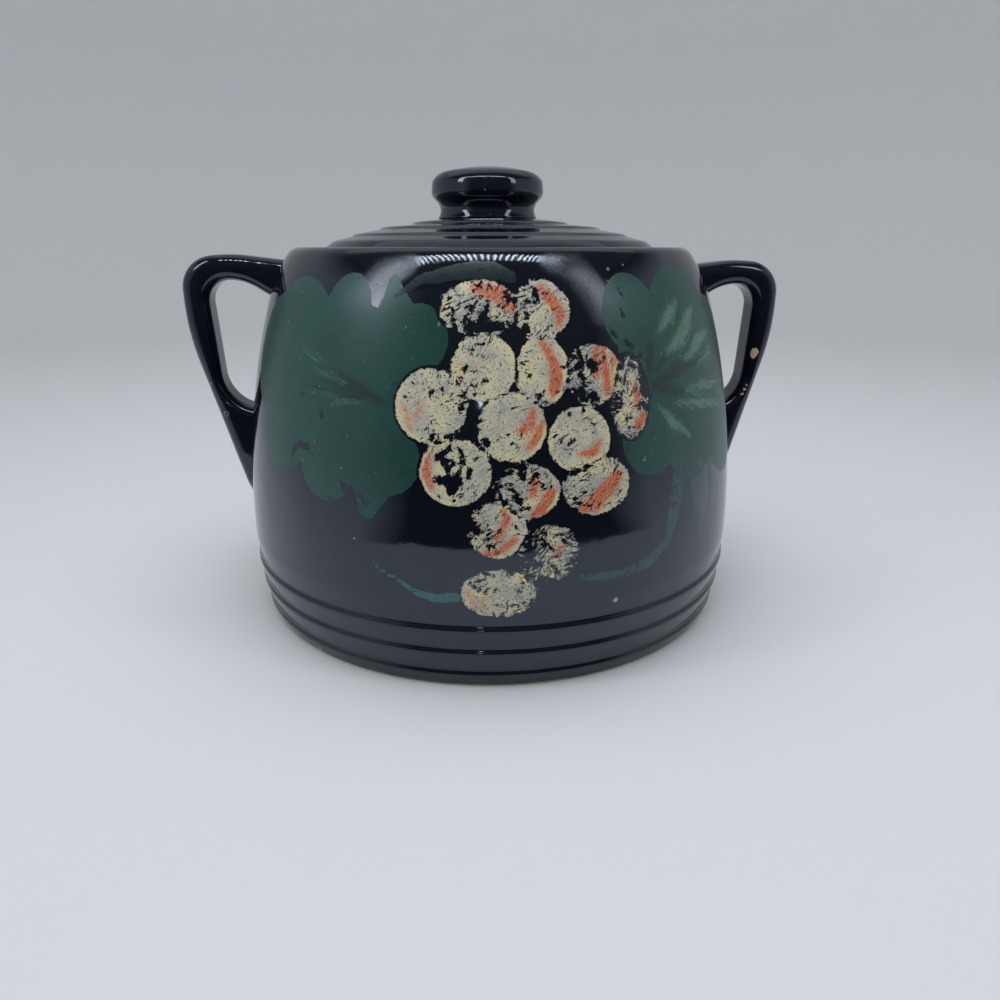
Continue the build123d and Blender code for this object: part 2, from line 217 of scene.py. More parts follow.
# Strokes by the number of their grape. A stroke is a chain of circles with cones between them. Each circle
# is given by x and z in the grape's half sizes from its centre, and by its radius in mm.
BLUSHES = {
    1: ((-0.12, 0.74, 0.9, 0.5, 0.5, 1.9, 0.84, 0.12, 1.4),),
    2: ((0, 0.69, 0.7, 0.36, 0.31, 1.2, 0.66, -0.16, 1.3), (0.66, -0.16, 1.2, 0.57, -0.6, 0.4)),
    3: ((-0.8, 0.2, -0.6, -0.68, -0.3, -0.5), (-0.31, 0, -0.4, 0.22, 0.34, -0.8)),
    4: ((-0.05, 0.86, 0.4, 0.19, 0.61, 0.8, 0.44, 0.2, 1.1, 0.52, -0.22, 1.7, 0.38, -0.58, 1.2),),
    5: ((0.1, 0.84, 0.6, 0.06, 0, 0.6), (0.36, 0.88, 0.5, 0.42, -0.55, 1),
        (0.72, 0.55, 0.4, 0.76, -0.38, 0.8)),
    6: ((0.29, 0.24, 0.6, 0.45, -0.22, 0.8), (0.79, -0.48, 0.5, 0.3, -0.72, 0.9)),
    7: ((-0.74, -0.05, -0.2, -0.56, -0.63, 0), (-0.26, 0, -0.2, -0.42, -0.3, 0)),
    8: ((0.61, 0.47, 0.4, 0.55, 0.08, 1, 0.26, -0.12, 0.7),
        (0.93, 0.11, 0.5, 0.74, -0.29, 1.2, 0.46, -0.6, 0.3)),
    9: ((0.62, -0.12, 0.2, 0.41, -0.42, 0.8, 0.05, -0.42, 0.5), (0.8, -0.51, 0.1, 0.47, -0.8, 0.2)),
    10: ((-0.75, 0.51, 0.4, -0.83, 0.04, 0.9, -0.66, -0.44, 0.6),),
    11: ((0.24, 0.42, 0.7, 0.17, -0.13, 0.6), (0.71, -0.06, 1.1, 0.53, -0.57, 1.8, 0.18, -0.84, 0.6)),
    12: ((0.61, 0.26, 1.3, 0.24, -0.22, 2.2, -0.12, -0.6, 2.1, -0.49, -0.8, 0.7),),
    13: ((0.2, 0.9, 0.2, 0.33, 0.39, 0.7, -0.03, -0.31, 0.5),
         (0.56, -0.36, 0.6, 0.08, -0.72, 0.7, -0.5, -0.86, 0.5)),
    14: ((0.39, 0.22, 0.2, 0.15, -0.12, 0.1),),
    15: ((-0.84, 0.11, -0.2, -0.63, -0.5, 0), (-0.39, -0.09, -0.3, -0.5, -0.66, -0.3)),
}
GRAPE_BARE = {
    1: ((0.02, 0.43, 0.3, -0.39, -0.5, 0.8), (0.24, 0.2, 0.5, -0.02, -0.8, 2.2),
        (-0.66, 0, 0.3, -0.6, -0.8, 1.1), (-0.27, -0.7, 1.5, 0.5, -0.74, 1.7),
        (0.7, -0.5, 0.5, 0.95, -0.8, 1.6)),
    2: ((-0.46, 0.96, 1), (-0.62, 0.18, 0.3, -0.55, -0.3, 0.8), (-0.6, -0.66, 1.5),
        (-0.2, 0.38, 0.2, -0.06, 0.2, 0.25), (0.29, -0.54, 0.4)),
    3: ((-0.43, 0.52, 0.35, 0.06, 0.74, 0.5), (-0.57, -0.02, 1), (-0.17, -0.16, 0.5),
        (-0.25, -0.48, 0.4, 0.09, -0.42, 0.6), (-0.51, -0.66, 0.5), (-0.26, -0.84, 0.6)),
    4: ((-0.49, -0.12, 0.6), (0.76, 0.06, 0.5), (-0.17, -0.76, 0.8, -0.03, -0.55, 0.2),
        (-0.85, 0.86, 1.6), (-0.82, -0.84, 2.2)),
    5: ((-0.53, 0.85, 0.9, -0.46, 0.28, 1), (-0.6, 0.12, 0.4, -0.32, -0.15, 0.5),
        (-0.55, -0.55, 1.2, 0.05, -0.8, 1), (-0.1, 0.15, 0.2, -0.05, 0.35, 0.3)),
    6: ((0.73, 0.72, 1.2, 0.84, 0.12, 2), (0.98, -0.24, 1.5, 0.2, -0.26, 0.5),
        (-0.33, -0.41, 0.5, -0.12, -0.75, 0.3), (-0.95, 0.36, 1.2), (-0.1, 0.17, 0.4)),
    7: ((0.84, 0.04, 0.8), (0.14, -0.96, 0.8, 0.77, -0.66, 0.5), (-0.7, 0.22, 0.3),
        (0.72, 0.8, 2, 1.08, 0.3, 1.2)),
    8: ((-0.77, -0.43, 1.2), (-0.43, -0.34, 0.15, -0.12, -0.2, 0.25), (-0.01, -0.46, 0.5),
        (-0.8, 0.12, 0.3), (0.93, 0.33, 0.3), (-0.46, 0.42, 0.1, -0.29, 0.47, 0.15)),
    9: ((-0.29, 0.8, 0.6), (0.2, 0.96, 0.4, 0.04, 0.79, 0.3), (-0.23, 0, 0.3, -0.41, -0.18, 0.3),
        (-0.63, 0.35, 0.25)),
    10: ((-0.13, 0.74, 0.8, -0.46, 0.45, 1.2), (-0.29, 0.33, 1, -0.18, 0.05, 0.9), (-0.1, 0.3, 0.9),
         (0.14, 0.05, 0.8, 0.02, -0.1, 0.7), (0.09, 0.74, 0.5, 0.25, 0.3, 1),
         (-0.5, -0.2, 1.2, 0.03, -0.28, 1.8), (-0.1, -0.52, 1.5), (0.41, 0.09, 0.7, 0.36, -0.14, 0.5),
         (-0.48, -0.75, 0.5), (-0.02, -0.84, 0.5), (0.3, -0.5, 0.4)),
    11: ((-0.49, 0.82, 0.5, -0.07, 0.6, 0.7), (-0.57, 0.27, 0.7, -0.22, -0.35, 0.9),
         (0.02, -0.57, 0.7, -0.16, -0.64, 0.8), (-0.85, -0.28, 1.4, -0.55, -0.5, 0.7), (0.14, 0.82, 0.3)),
    12: ((-0.7, 0.7, 2.3, -0.12, 0.9, 1.5), (0.92, -0.7, 1.8), (-0.55, -0.45, 0.5)),
    13: ((-1.05, 0.34, 1.6, -0.6, -0.08, 1.1), (-0.03, 0.53, 0.3), (0.54, 0.27, 0.3, 0.67, 0.08, 0.4),
         (-0.31, 0.16, 0.4)),
    14: ((-0.2, 0.74, 0.3, 0.23, 0.68, 0.4), (-0.36, 0.5, 0.5, 0.17, 0.12, 0.6),
         (-0.47, -0.35, 0.8, -0.85, -0.1, 0.8), (-0.5, -0.84, 1.1)),
    15: ((-0.72, 0.45, 0.6, -0.54, 0.18, 0.4), (-0.46, 0.9, 0.8, -0.1, 0.76, 0.4), (0.34, 0.84, 0.7),
         (-0.19, -0.43, 0.25, 0.39, -0.5, 0.4), (0.88, -0.1, 0.3, 0.92, -0.6, 0.9)),
}
# Chains of circles of paint on the wall: azimuth, height and radius of each circle.
LEAVES = (
    (-51.3, 96, 22), (-35.6, 110.3, 9), (-22.7, 103, 10, -25.1, 117, 2), (-18.7, 102.5, 9.2),
    (-33.3, 87, 24.5), (-24, 70, 10), (-26.7, 66, 9, -28, 55, 2.6), (-38, 66, 10.4), (-52, 74, 13.2),
    (-58.7, 95, 18), (26.3, 108.5, 10.8), (43.3, 99, 22), (43.3, 88, 20.6), (25.6, 99.5, 5.5, 31, 92, 6),
    (56.7, 92, 20), (58.7, 72, 17), (41.3, 72, 13.5), (28.7, 74, 11),
)
# Patches where the leaf paint has come off.
LEAF_BARE = (
    (-48.3, 62.6, 0.4, -47.9, 67.2, 0.7), (-47.6, 68.4, 0.9, -46.2, 70.4, 1, -43.4, 70.2, 1.2),
    (-43.4, 70.2, 1.1, -41.8, 67.8, 0.5), (-34.6, 62.4, 0.5, -32.6, 60.2, 1.3, -31.2, 59.4, 0.8),
    (-29.8, 59.4, 0.8, -28.2, 57.2, 1.1), (-38.6, 58.4, 0.3, -36.2, 56.4, 0.6),
    (-40.4, 84.2, 0.3, -39.6, 79.8, 0.9), (-46.6, 87.4, 0.5, -46, 84.2, 0.4),
    (-24.2, 91.6, 0.4, -22.8, 90.6, 0.7), (23.6, 102, 0.5, 25.2, 99.6, 1),
    (27, 97.8, 0.7, 27.4, 95.8, 0.4), (24.2, 115.6, 0.5, 24.4, 113.4, 0.7),
    (23.8, 109.8, 0.4, 24.2, 107.6, 0.9), (20.6, 104.4, 0.8, 21.8, 102.6, 0.7),
    (44.2, 62.4, 1.4, 42.6, 68, 0.3), (36.6, 61.4, 0.9, 37.4, 64.6, 0.3),
)
# Dark strokes of the leaves' veins, and pale ones that a nearly dry brush left. The last pale stroke is a
# painted highlight: a thin pale line along the right leaf's edge.
LEAF_DARK = (
    (-24, 84.9, 0.4, -30.6, 88.6, 1.9, -38.4, 94.6, 0.3), (-30, 87.8, 1.6, -41, 90.2, 0.3),
    (-26.6, 85.4, 0.7, -36, 86.6, 0.9), (-36, 86.6, 0.8, -48.4, 88.6, 0.2),
    (29, 88.2, 0.9, 37.6, 91.6, 2.4), (37.6, 91.6, 2.2, 50, 93.6, 0.4), (29, 88, 0.8, 37.6, 85.4, 1.6),
    (37.6, 85.4, 1.5, 44, 83.4, 0.3), (28.6, 90, 1.2, 30.4, 99, 1.6), (31, 92, 0.8, 36, 97, 1.2),
)
LEAF_LIGHT = (
    (-47.8, 98.2, 0.3, -42.6, 96, 0.9), (-42.6, 96, 0.8, -37.8, 93.8, 0.2),
    (-43.8, 92.6, 0.2, -34.4, 89.6, 0.5), (-41.4, 92.6, 0.2, -35.8, 90.2, 0.4),
    (-36.6, 84.2, 0.5, -27.8, 85.5, 0.2), (-43, 86.4, 0.2, -36, 86, 0.3),
    (33, 102.8, 0.8, 38.2, 107.6, 2.8, 41.6, 110.4, 0.9), (40.2, 101.6, 1.1, 45, 106, 2.6),
    (45, 106, 2.4, 48.6, 108.8, 0.7), (35.4, 97, 1.2, 41.2, 101, 3.2), (41.2, 101, 3, 46.4, 103.6, 1),
    (41.4, 94.6, 1.2, 48.4, 98.4, 3), (48.4, 98.4, 2.8, 55.2, 101.2, 0.9),
    (46.4, 91.8, 0.6, 54.4, 94.8, 1.6), (40.2, 85.2, 0.8, 47.8, 85.8, 2.2),
    (47.8, 85.8, 2, 56, 84.6, 0.8), (37, 82.2, 0.9, 46.4, 80.4, 2.2), (46.4, 80.4, 2, 57, 77.8, 1),
    (31.2, 82.2, 0.7, 35, 77.2, 2.4), (35, 77.2, 2.2, 40.6, 71.6, 0.8),
    # A painted highlight, not a brush stroke: a thin pale line along the right leaf's edge.
    (27.8, 93.5, 0.3, 29.3, 87.9, 0.3),
)
BRUSH_LEAF = (
    (-24.4, 113.2, 0.7, -19.6, 117.4, 1.3, -14.6, 118.9, 1.9,
     -8.4, 120.2, 2.3, -3.4, 119.9, 2.4, 0.4, 118.2, 1.5),
)
TENDRILS = (
    (-28.2, 42.6, 0.15, -25.9, 37.8, 0.5, -22, 35.6, 0.65,
     -18.8, 32.3, 0.95, -14.9, 30.7, 1.3, -10.9, 31.4, 1.5),
)
FAINT_TENDRILS = (
    (12, 35.8, 0.8, 17, 35.2, 1.2, 22.6, 35.2, 1.4, 28.3, 36.9, 1.7,
     32.8, 41.7, 1.8, 34.6, 52, 2.6, 37.4, 64, 4), (41, 64, 3.4, 42.4, 50, 2),
    (45.4, 62, 3.2, 45.8, 48, 2.4, 44, 40.4, 1), (51, 62, 3, 52, 47, 1.8), (56.6, 60, 2.8, 56.4, 42, 1.3),
)
# Rubbed bands of the shoulder, where its shine is broad.
HAZE = (
    (-23, 121.4, 3, -29, 118.6, 4.2, -33.4, 112, 3.4),
    (9.6, 122.6, 3, 14.6, 120.6, 4.4, 19.2, 110.4, 4.6),
)
# Where the veins of each leaf start, by azimuth and height, and their main direction in degrees.
VEINS = ((-24.5, 86.0, 168.0), (29.3, 88.0, 8.0))
BODY_CHIPS = ((20.2, 26.6, 1.1), (-45.5, 1.5, 1.0))
GLAZE_RINGS = ((-30.9, 46.2, 1.0), (22.6, 120.2, 1.0), (27.2, 121.0, 0.9), (21.6, 117.0, 0.7))
ORNAMENT_TURN = 0.8                     # how far back from its listed azimuths the ornament lies
MM_PER_DEGREE = math.radians(86.0)      # width of a degree of azimuth along the wall, 86 mm off the axis
FAR = -1e3                              # the depth of a point that lies far outside every shape


# ---------------------------------------------------------------- outlines and grids

def run_along(points):
    """The length run at each point of a line, from its start."""
    return np.concatenate([[0.0], np.cumsum(np.linalg.norm(np.diff(points, axis=0), axis=1))])


def read_off(points, marks, at):
    """A line's points where the marks, one for each point, have the values at."""
    return np.stack([np.interp(at, marks, column) for column in points.T], axis=1)


def even(points, step):
    """A line's points at even distances."""
    run = run_along(points)
    return read_off(points, run, np.linspace(0.0, run[-1], max(3, int(round(run[-1] / step)) + 1)))


def soften(points, radius, closed=False):
    """Melts an outline's corners: every point becomes the bell-weighted mean of its neighbours.

    An open outline ends on the axis, and is continued there by its own mirror image, so its ends stay.
    """
    per_radius = 5
    line = even(points, radius / per_radius)
    offsets = np.arange(-3 * per_radius, 3 * per_radius + 1)
    weights = np.exp(-0.5 * (offsets / per_radius) ** 2)
    weights /= weights.sum()
    reach = offsets[-1]
    if closed:
        line = line[:-1]
        padded = np.concatenate([line[-reach:], line, line[:reach]])
    else:
        mirror = np.array([-1.0, 1.0])
        padded = np.concatenate([line[1:reach + 1][::-1] * mirror, line, line[-reach - 1:-1][::-1] * mirror])
    soft = np.stack([np.convolve(column, weights, mode="valid") for column in padded.T], axis=1)
    if not closed:
        soft[0, 0] = soft[-1, 0] = 0.0
    return soft


def rows_by_bend(points, finest, coarsest):
    """Picks points so that each step turns by about nine degrees, between two limits of length."""
    steps = np.diff(points, axis=0)
    run = np.linalg.norm(steps, axis=1)
    heading = np.unwrap(np.arctan2(steps[:, 1], steps[:, 0]))
    bend = np.abs(np.gradient(heading)) / run
    bend = np.convolve(np.pad(bend, 4, mode="edge"), np.full(9, 1 / 9), mode="valid")
    wanted = np.clip(math.radians(9.0) / np.maximum(bend, 1e-6), finest, coarsest)
    rows = np.concatenate([[0.0], np.cumsum(run / wanted)])
    return read_off(points, rows, np.linspace(0.0, rows[-1], int(rows[-1]) + 2))


def circle(centre, radius, first, last, count=25):
    """Points of a circle between two angles."""
    angles = np.linspace(first, last, count)
    return np.stack([centre[0] + radius * np.cos(angles), centre[1] + radius * np.sin(angles)], axis=1)


def arc(start, end, rise, count=25):
    """Points of an arc whose middle stands to the right of the chord by rise."""
    start, end = np.array(start), np.array(end)
    half_chord = (end - start) / 2
    half = np.linalg.norm(half_chord)
    along = np.linspace(-1.0, 1.0, count)
    radius = (half**2 + rise**2) / (2 * abs(rise))
    out = math.copysign(1.0, rise) * (np.sqrt(radius**2 - (along * half) ** 2) - (radius - abs(rise)))
    right = np.array([half_chord[1], -half_chord[0]]) / half
    return (start + end) / 2 + along[:, None] * half_chord + out[:, None] * right


def level_arc(crest, end):
    """Points of the arc that leaves crest level and ends at end: a circle with its centre below crest."""
    run, drop = end[0] - crest[0], crest[1] - end[1]
    radius = (run**2 + drop**2) / (2 * drop)
    last = math.pi / 2 - math.atan2(run, radius - drop)
    return circle((crest[0], crest[1] - radius), radius, math.pi / 2, last)


def rounded_path(corners, step):
    """A line through corners, each given as (x, z, radius) and turned by a tangent arc of that radius."""
    places = [np.array(corner[:2]) for corner in corners]
    points = [places[0]]
    for before, here, after, (_, _, radius) in zip(places[:-2], places[1:-1], places[2:], corners[1:-1]):
        inward = (before - here) / np.linalg.norm(before - here)
        onward = (after - here) / np.linalg.norm(after - here)
        half_open = math.acos(np.clip(inward @ onward, -1, 1)) / 2
        tangent = radius / math.tan(half_open)
        centre = here + (inward + onward) / np.linalg.norm(inward + onward) * radius / math.sin(half_open)
        sweep = np.linspace(0.0, 1.0, 24)[:, None]
        start, end = here + inward * tangent - centre, here + onward * tangent - centre
        angle = math.acos(np.clip(start @ end / radius**2, -1, 1))
        fan = (start * np.sin((1 - sweep) * angle) + end * np.sin(sweep * angle)) / math.sin(angle)
        points.extend(centre + fan)
    return even(np.array(points + [places[-1]]), step)


def fade(values, start, end):
    """Shares that grow evenly from 0 where the values reach start to 1 where they reach end."""
    return np.clip((values - start) / (end - start), 0.0, 1.0)


def wall_radius(sizes, height, inset=0.0):
    """The wall's radius at a height: a circle's arc above the belly and a tighter one below it."""
    bend = np.where(height < sizes.belly_height, sizes.lower_arc, sizes.wall_arc) - inset
    return BELLY_RADIUS - inset - bend + np.sqrt(bend**2 - (height - sizes.belly_height) ** 2)


def turned(profile, azimuths, sway=0.0):
    """Turns an outline about +Z: x = r sin(a), y = -r cos(a), with r shrunk by two slow waves of sway."""
    radius, height = profile[:, :1], profile[:, 1:]
    slow = 1 + np.cos(2 * azimuths + 0.9) + 0.5 * np.cos(3 * azimuths + 26 * height)
    radius = radius - sway * slow / 3 * np.clip(radius / BELLY_RADIUS, 0, 1)
    return np.stack([radius * np.sin(azimuths), -radius * np.cos(azimuths),
                     np.broadcast_to(height, radius.shape)], axis=2)


def azimuth_columns(count, crowding=0.0):
    """Azimuths round the pot, from behind to behind, closer together in front by crowding."""
    turn = (np.arange(count) + 0.5) / count * 2 * math.pi - math.pi
    return turn - crowding * np.sin(turn)


def grid_mesh(name, points, wrap_rows=False, first_pole=None, last_pole=None):
    """A mesh of quads on a grid of points, closed across its columns and capped by fans at its poles."""
    rows, columns = points.shape[:2]
    index = np.arange(rows * columns).reshape(rows, columns)
    upper = np.roll(index, -1, axis=0) if wrap_rows else index[1:]
    lower = index if wrap_rows else index[:-1]
    quads = np.stack([lower, np.roll(lower, -1, axis=1), np.roll(upper, -1, axis=1), upper], axis=2)
    faces = quads.reshape(-1, 4).tolist()
    vertices = points.reshape(-1, 3)
    for pole, ring, order in ((first_pole, index[0], -1), (last_pole, index[-1], 1)):
        if pole is not None:
            tip = np.full(columns, len(vertices))
            faces += np.stack([ring, np.roll(ring, -1), tip][::order], axis=1).tolist()
            vertices = np.concatenate([vertices, [pole]])
    mesh = bpy.data.meshes.new(name)
    mesh.from_pydata(vertices.tolist(), [], faces)
    mesh.polygons.foreach_set("use_smooth", np.ones(len(mesh.polygons), dtype=bool))
    mesh.update()
    return link_new(name, mesh)


def link_new(name, data):
    """A new object that shows some data in the scene."""
    made = bpy.data.objects.new(name, data)
    bpy.context.scene.collection.objects.link(made)
    return made


def positions(piece):
    """A piece's vertices as an array of points in metres."""
    flat = np.empty(len(piece.data.vertices) * 3)
    piece.data.vertices.foreach_get("co", flat)
    return flat.reshape(-1, 3)


def give_attribute(piece, name, values):
    """Keeps one number for each vertex, which the material reads by name."""
    attribute = piece.data.attributes.new(name, "FLOAT", "POINT")
    attribute.data.foreach_set("value", np.ascontiguousarray(values, dtype=np.float32))


def give_wear(piece, chips=(), rings=()):
    """Keeps how deep each vertex lies inside the nearest chip and ring, in mm: spot radius less distance."""
    for name, spots in (("chip", chips), ("ring", rings)):
        best = np.full(len(piece.data.vertices), FAR)
        for *place, radius in spots:
            best = np.maximum(best, radius - np.linalg.norm(positions(piece) / MM - place, axis=1))
        give_attribute(piece, name, best)


def finish_piece(piece, body, nodes, material):
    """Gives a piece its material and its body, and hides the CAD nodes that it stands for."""
    piece.data.materials.append(material)
    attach(piece, body)
    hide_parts(*nodes)


# ---------------------------------------------------------------- the ornament as fields over the wall

def dab_field(across, up, dabs):
    """How deep a point lies inside the nearest chain of circles, joined by cones, in mm."""
    best = np.full(across.shape, FAR)
    for dab in dabs:
        circles = np.reshape(dab, (-1, 3)) * (MM_PER_DEGREE, 1.0, 1.0)
        for root, end in zip(circles, circles[1:] if len(circles) > 1 else circles):
            run, swell = (end - root)[:2], (end - root)[2]
            share = ((across - root[0]) * run[0] + (up - root[1]) * run[1]) / max(run @ run, 1e-9)
            share = np.clip(share, 0.0, 1.0)
            off = np.hypot(across - root[0] - share * run[0], up - root[1] - share * run[1])
            best = np.maximum(best, root[2] + share * swell - off)
    return best


def on_grape(grape, strokes, across, up):
    """How deep a point lies inside the nearest stroke of one grape, in mm."""
    azimuth, height, wide, high = grape[:4]
    half_sizes, centre = (wide / MM_PER_DEGREE, high, 1.0), (azimuth, height, 0.0)
    return dab_field(across, up, [np.reshape(stroke, (-1, 3)) * half_sizes + centre for stroke in strokes])


def grape_fields(across, up):
    """Depth, worn share, and depth in the blush and in the bare patches of the nearest grape.

    Depth is the ellipse's (1 - distance) times its short half. Where two grapes meet, it is also less
    than half of how much deeper a point lies in one than in the other, so that a dark line parts them.
    """
    deepest, second, worn, blush, bare = np.full((5, *across.shape), FAR)
    for number, grape in enumerate(GRAPES, 1):
        azimuth, height, wide, high, wear, wear_way, wear_slope = grape
        x = (across - azimuth * MM_PER_DEGREE) / wide
        z = (up - height) / high
        deep = (1 - np.hypot(x, z)) * min(wide, high)
        way = math.radians(wear_way)
        wear += wear_slope * np.clip(x * math.cos(way) + z * math.sin(way), -1, 1)
        nearer = deep > deepest
        second = np.where(nearer, deepest, np.maximum(second, deep))
        deepest = np.where(nearer, deep, deepest)
        worn = np.where(nearer, wear, worn)
        blush = np.where(nearer, on_grape(grape, BLUSHES[number], across, up), blush)
        bare = np.where(nearer, on_grape(grape, GRAPE_BARE[number], across, up), bare)
    return np.minimum(deepest, (deepest - second) / 2 - 0.3), worn, blush, bare


def vein_fields(across, up):
    """Bearing from the nearer leaf's vein base, off its main direction, and distance from it in mm."""
    bearings, distances = [], []
    for azimuth, height, direction in VEINS:
        x, z = across - azimuth * MM_PER_DEGREE, up - height
        turned_by = np.arctan2(z, x) - math.radians(direction)
        bearings.append((turned_by + math.pi) % (2 * math.pi) - math.pi)
        distances.append(np.hypot(x, z))
    return np.where(across < 0, *bearings), np.where(across < 0, *distances)


def on_wall(sizes, azimuth, height, radius):
    """A spot on the wall, from degrees and mm to x, y, z in mm."""
    line = outside_line(sizes)
    at = float(wall_radius(sizes, height * MM)) / MM
    if height * MM > line[0, 1]:
        at = float(np.interp(height * MM, line[:, 1], line[:, 0])) / MM
    turn = math.radians(azimuth - ORNAMENT_TURN)
    return at * math.sin(turn), -at * math.cos(turn), height, radius


def paint_wall(piece, sizes):
    """Stores the ornament's fields on the pot's wall, for its material to break up and colour.

    The fields reach skin_depth in from the wall's outside, past its inner face, which so carries the
    ornament too. Further in, the paint's depth is set far back.
    """
    skin_depth, lip_drop, inside_lip, set_back = 9.0, 17.0, 66.5, 60.0
    points = positions(piece) / MM
    across = np.degrees(np.arctan2(points[:, 0], -points[:, 1])) + ORNAMENT_TURN
    across, up = across * MM_PER_DEGREE, points[:, 2]
    from_axis = np.hypot(points[:, 0], points[:, 1])
    outside = from_axis > wall_radius(sizes, up * MM) / MM - skin_depth
    outside |= (up > RIM_HEIGHT / MM - lip_drop) & (from_axis > inside_lip)
    hidden = np.where(outside, 0.0, set_back)
    grape, worn, blush, grape_bare = grape_fields(across, up)
    bearing, distance = vein_fields(across, up)
    fields = {"grape": grape - hidden, "worn": worn, "blush": blush, "grape_bare": grape_bare,
              "vein_bearing": bearing, "vein_distance": distance,
              "leaf": np.minimum(dab_field(across, up, LEAVES), 4.0) - hidden}
    for name, dabs in {"leaf_bare": LEAF_BARE, "leaf_dark": LEAF_DARK, "leaf_light": LEAF_LIGHT,
                       "haze": HAZE}.items():
        fields[name] = dab_field(across, up, dabs)
    for name, dabs in {"brush_leaf": BRUSH_LEAF, "tendril": TENDRILS,
                       "faint_tendril": FAINT_TENDRILS}.items():
        fields[name] = dab_field(across, up, dabs) - hidden
    for name, values in fields.items():
        give_attribute(piece, name, values)
    give_wear(piece, [on_wall(sizes, *chip) for chip in BODY_CHIPS],
              [on_wall(sizes, *ring) for ring in GLAZE_RINGS])


# ---------------------------------------------------------------- shader building blocks

class Value:
    """A socket's value. Sums and products of values add Math nodes to the tree that they are in."""

    def __init__(self, nodes, socket):
        self.nodes, self.socket = nodes, socket

    def __add__(self, other):
        return self.nodes.math("ADD", self, other)

    def __sub__(self, other):
        return self.nodes.math("SUBTRACT", self, other)

    def __rsub__(self, other):
        return self.nodes.math("SUBTRACT", other, self)

    def __mul__(self, other):
        return self.nodes.math("MULTIPLY", self, other)

    def __abs__(self):
        return self.nodes.math("ABSOLUTE", self)


class Nodes:
    """Adds nodes to a tree, so that a material reads as a list of formulas."""

    def __init__(self, tree):
        self.tree = tree

    def feed(self, node, inputs):
        """Sets or links a node's inputs, each given by its name or number."""
        for key, value in inputs.items():
            if isinstance(value, Value):
                self.tree.links.new(value.socket, node.inputs[key])
            else:
                node.inputs[key].default_value = value

    def node(self, kind, inputs, **settings):
        """A new node of a kind."""
        made = self.tree.nodes.new(kind)
        for key, value in settings.items():
            setattr(made, key, value)
        self.feed(made, inputs)
        return made

    def add(self, kind, inputs, output=0, **settings):
        """One output of a new node, given by its name or number."""
        return Value(self, self.node(kind, inputs, **settings).outputs[output])

    def math(self, operation, *inputs, clamp=False):
        """The result of one Math node."""
        return self.add("ShaderNodeMath", dict(enumerate(inputs)), operation=operation, use_clamp=clamp)

    def ramp(self, value, low, high, first=0.0, last=1.0):
        """A smooth step of value: first below low, last above high."""
        inputs = {"Value": value, "From Min": low, "From Max": high, "To Min": first, "To Max": last}
        return self.add("ShaderNodeMapRange", inputs, interpolation_type="SMOOTHSTEP")

    def mix(self, factor, first, second):
        """Two colours mixed by a factor, each a value or a colour property."""
        first, second = (tone if isinstance(tone, Value) else (*tone, 1.0) for tone in (first, second))
        return self.add("ShaderNodeMix", {0: factor, 6: first, 7: second}, 2, data_type="RGBA")

    def noise(self, vector, scale, detail=2.0, roughness=0.5, distortion=0.0):
        """A noise value round one half at points of a vector, with scale in cells per metre or per unit."""
        inputs = {"Vector": vector, "Scale": scale, "Detail": detail, "Roughness": roughness,
                  "Distortion": distortion}
        return self.add("ShaderNodeTexNoise", inputs, "Fac")

    def attribute(self, name):
        """One of the numbers that a piece keeps for each vertex."""
        return self.add("ShaderNodeAttribute", {}, "Fac", attribute_name=name)

    def vector(self, x, y):
        """A vector of two values."""
        return self.add("ShaderNodeCombineXYZ", {0: x, 1: y})

    def place(self):
        """A point's place on its piece, in metres."""
        return self.add("ShaderNodeTexCoord", {}, "Object")


def node_group(name, inputs, outputs):
    """Makes a function of values into a shader node group, which is built once and then used again."""
    def wrap(formulas):
        def build():
            tree = bpy.data.node_groups.new(name, "ShaderNodeTree")
            for socket in inputs:
                kind = "NodeSocketVector" if socket == "Place" else "NodeSocketFloat"
                tree.interface.new_socket(name=socket, in_out="INPUT", socket_type=kind)
            for socket in outputs:
                tree.interface.new_socket(name=socket, in_out="OUTPUT", socket_type="NodeSocketFloat")
            nodes = Nodes(tree)
            given = nodes.node("NodeGroupInput", {}).outputs
            results = formulas(nodes, *[Value(nodes, given[socket]) for socket in inputs])
            nodes.node("NodeGroupOutput", dict(zip(outputs, results)))
            return tree

        def use(nodes, *values):
            tree = bpy.data.node_groups.get(name) or build()
            node = nodes.node("ShaderNodeGroup", dict(zip(inputs, values)), node_tree=tree)
            return [Value(nodes, socket) for socket in node.outputs]

        return use
    return wrap


@node_group("Brush strokes", ("Place",), ("Along", "Across"))
def brush_strokes(nodes, place):
    """Coordinates in mm along and across brush strokes that run up to the right, a little wavy."""
    split = nodes.node("ShaderNodeSeparateXYZ", {0: place}).outputs
    wave = nodes.noise(place, 90.0, 1.0, 0.4) * 0.008 - 0.004
    cos, sin = math.cos(math.radians(38)) / MM, math.sin(math.radians(38)) / MM
    x, z = Value(nodes, split["X"]) + wave, Value(nodes, split["Z"]) - wave
    return x * cos + z * sin, z * cos - x * sin


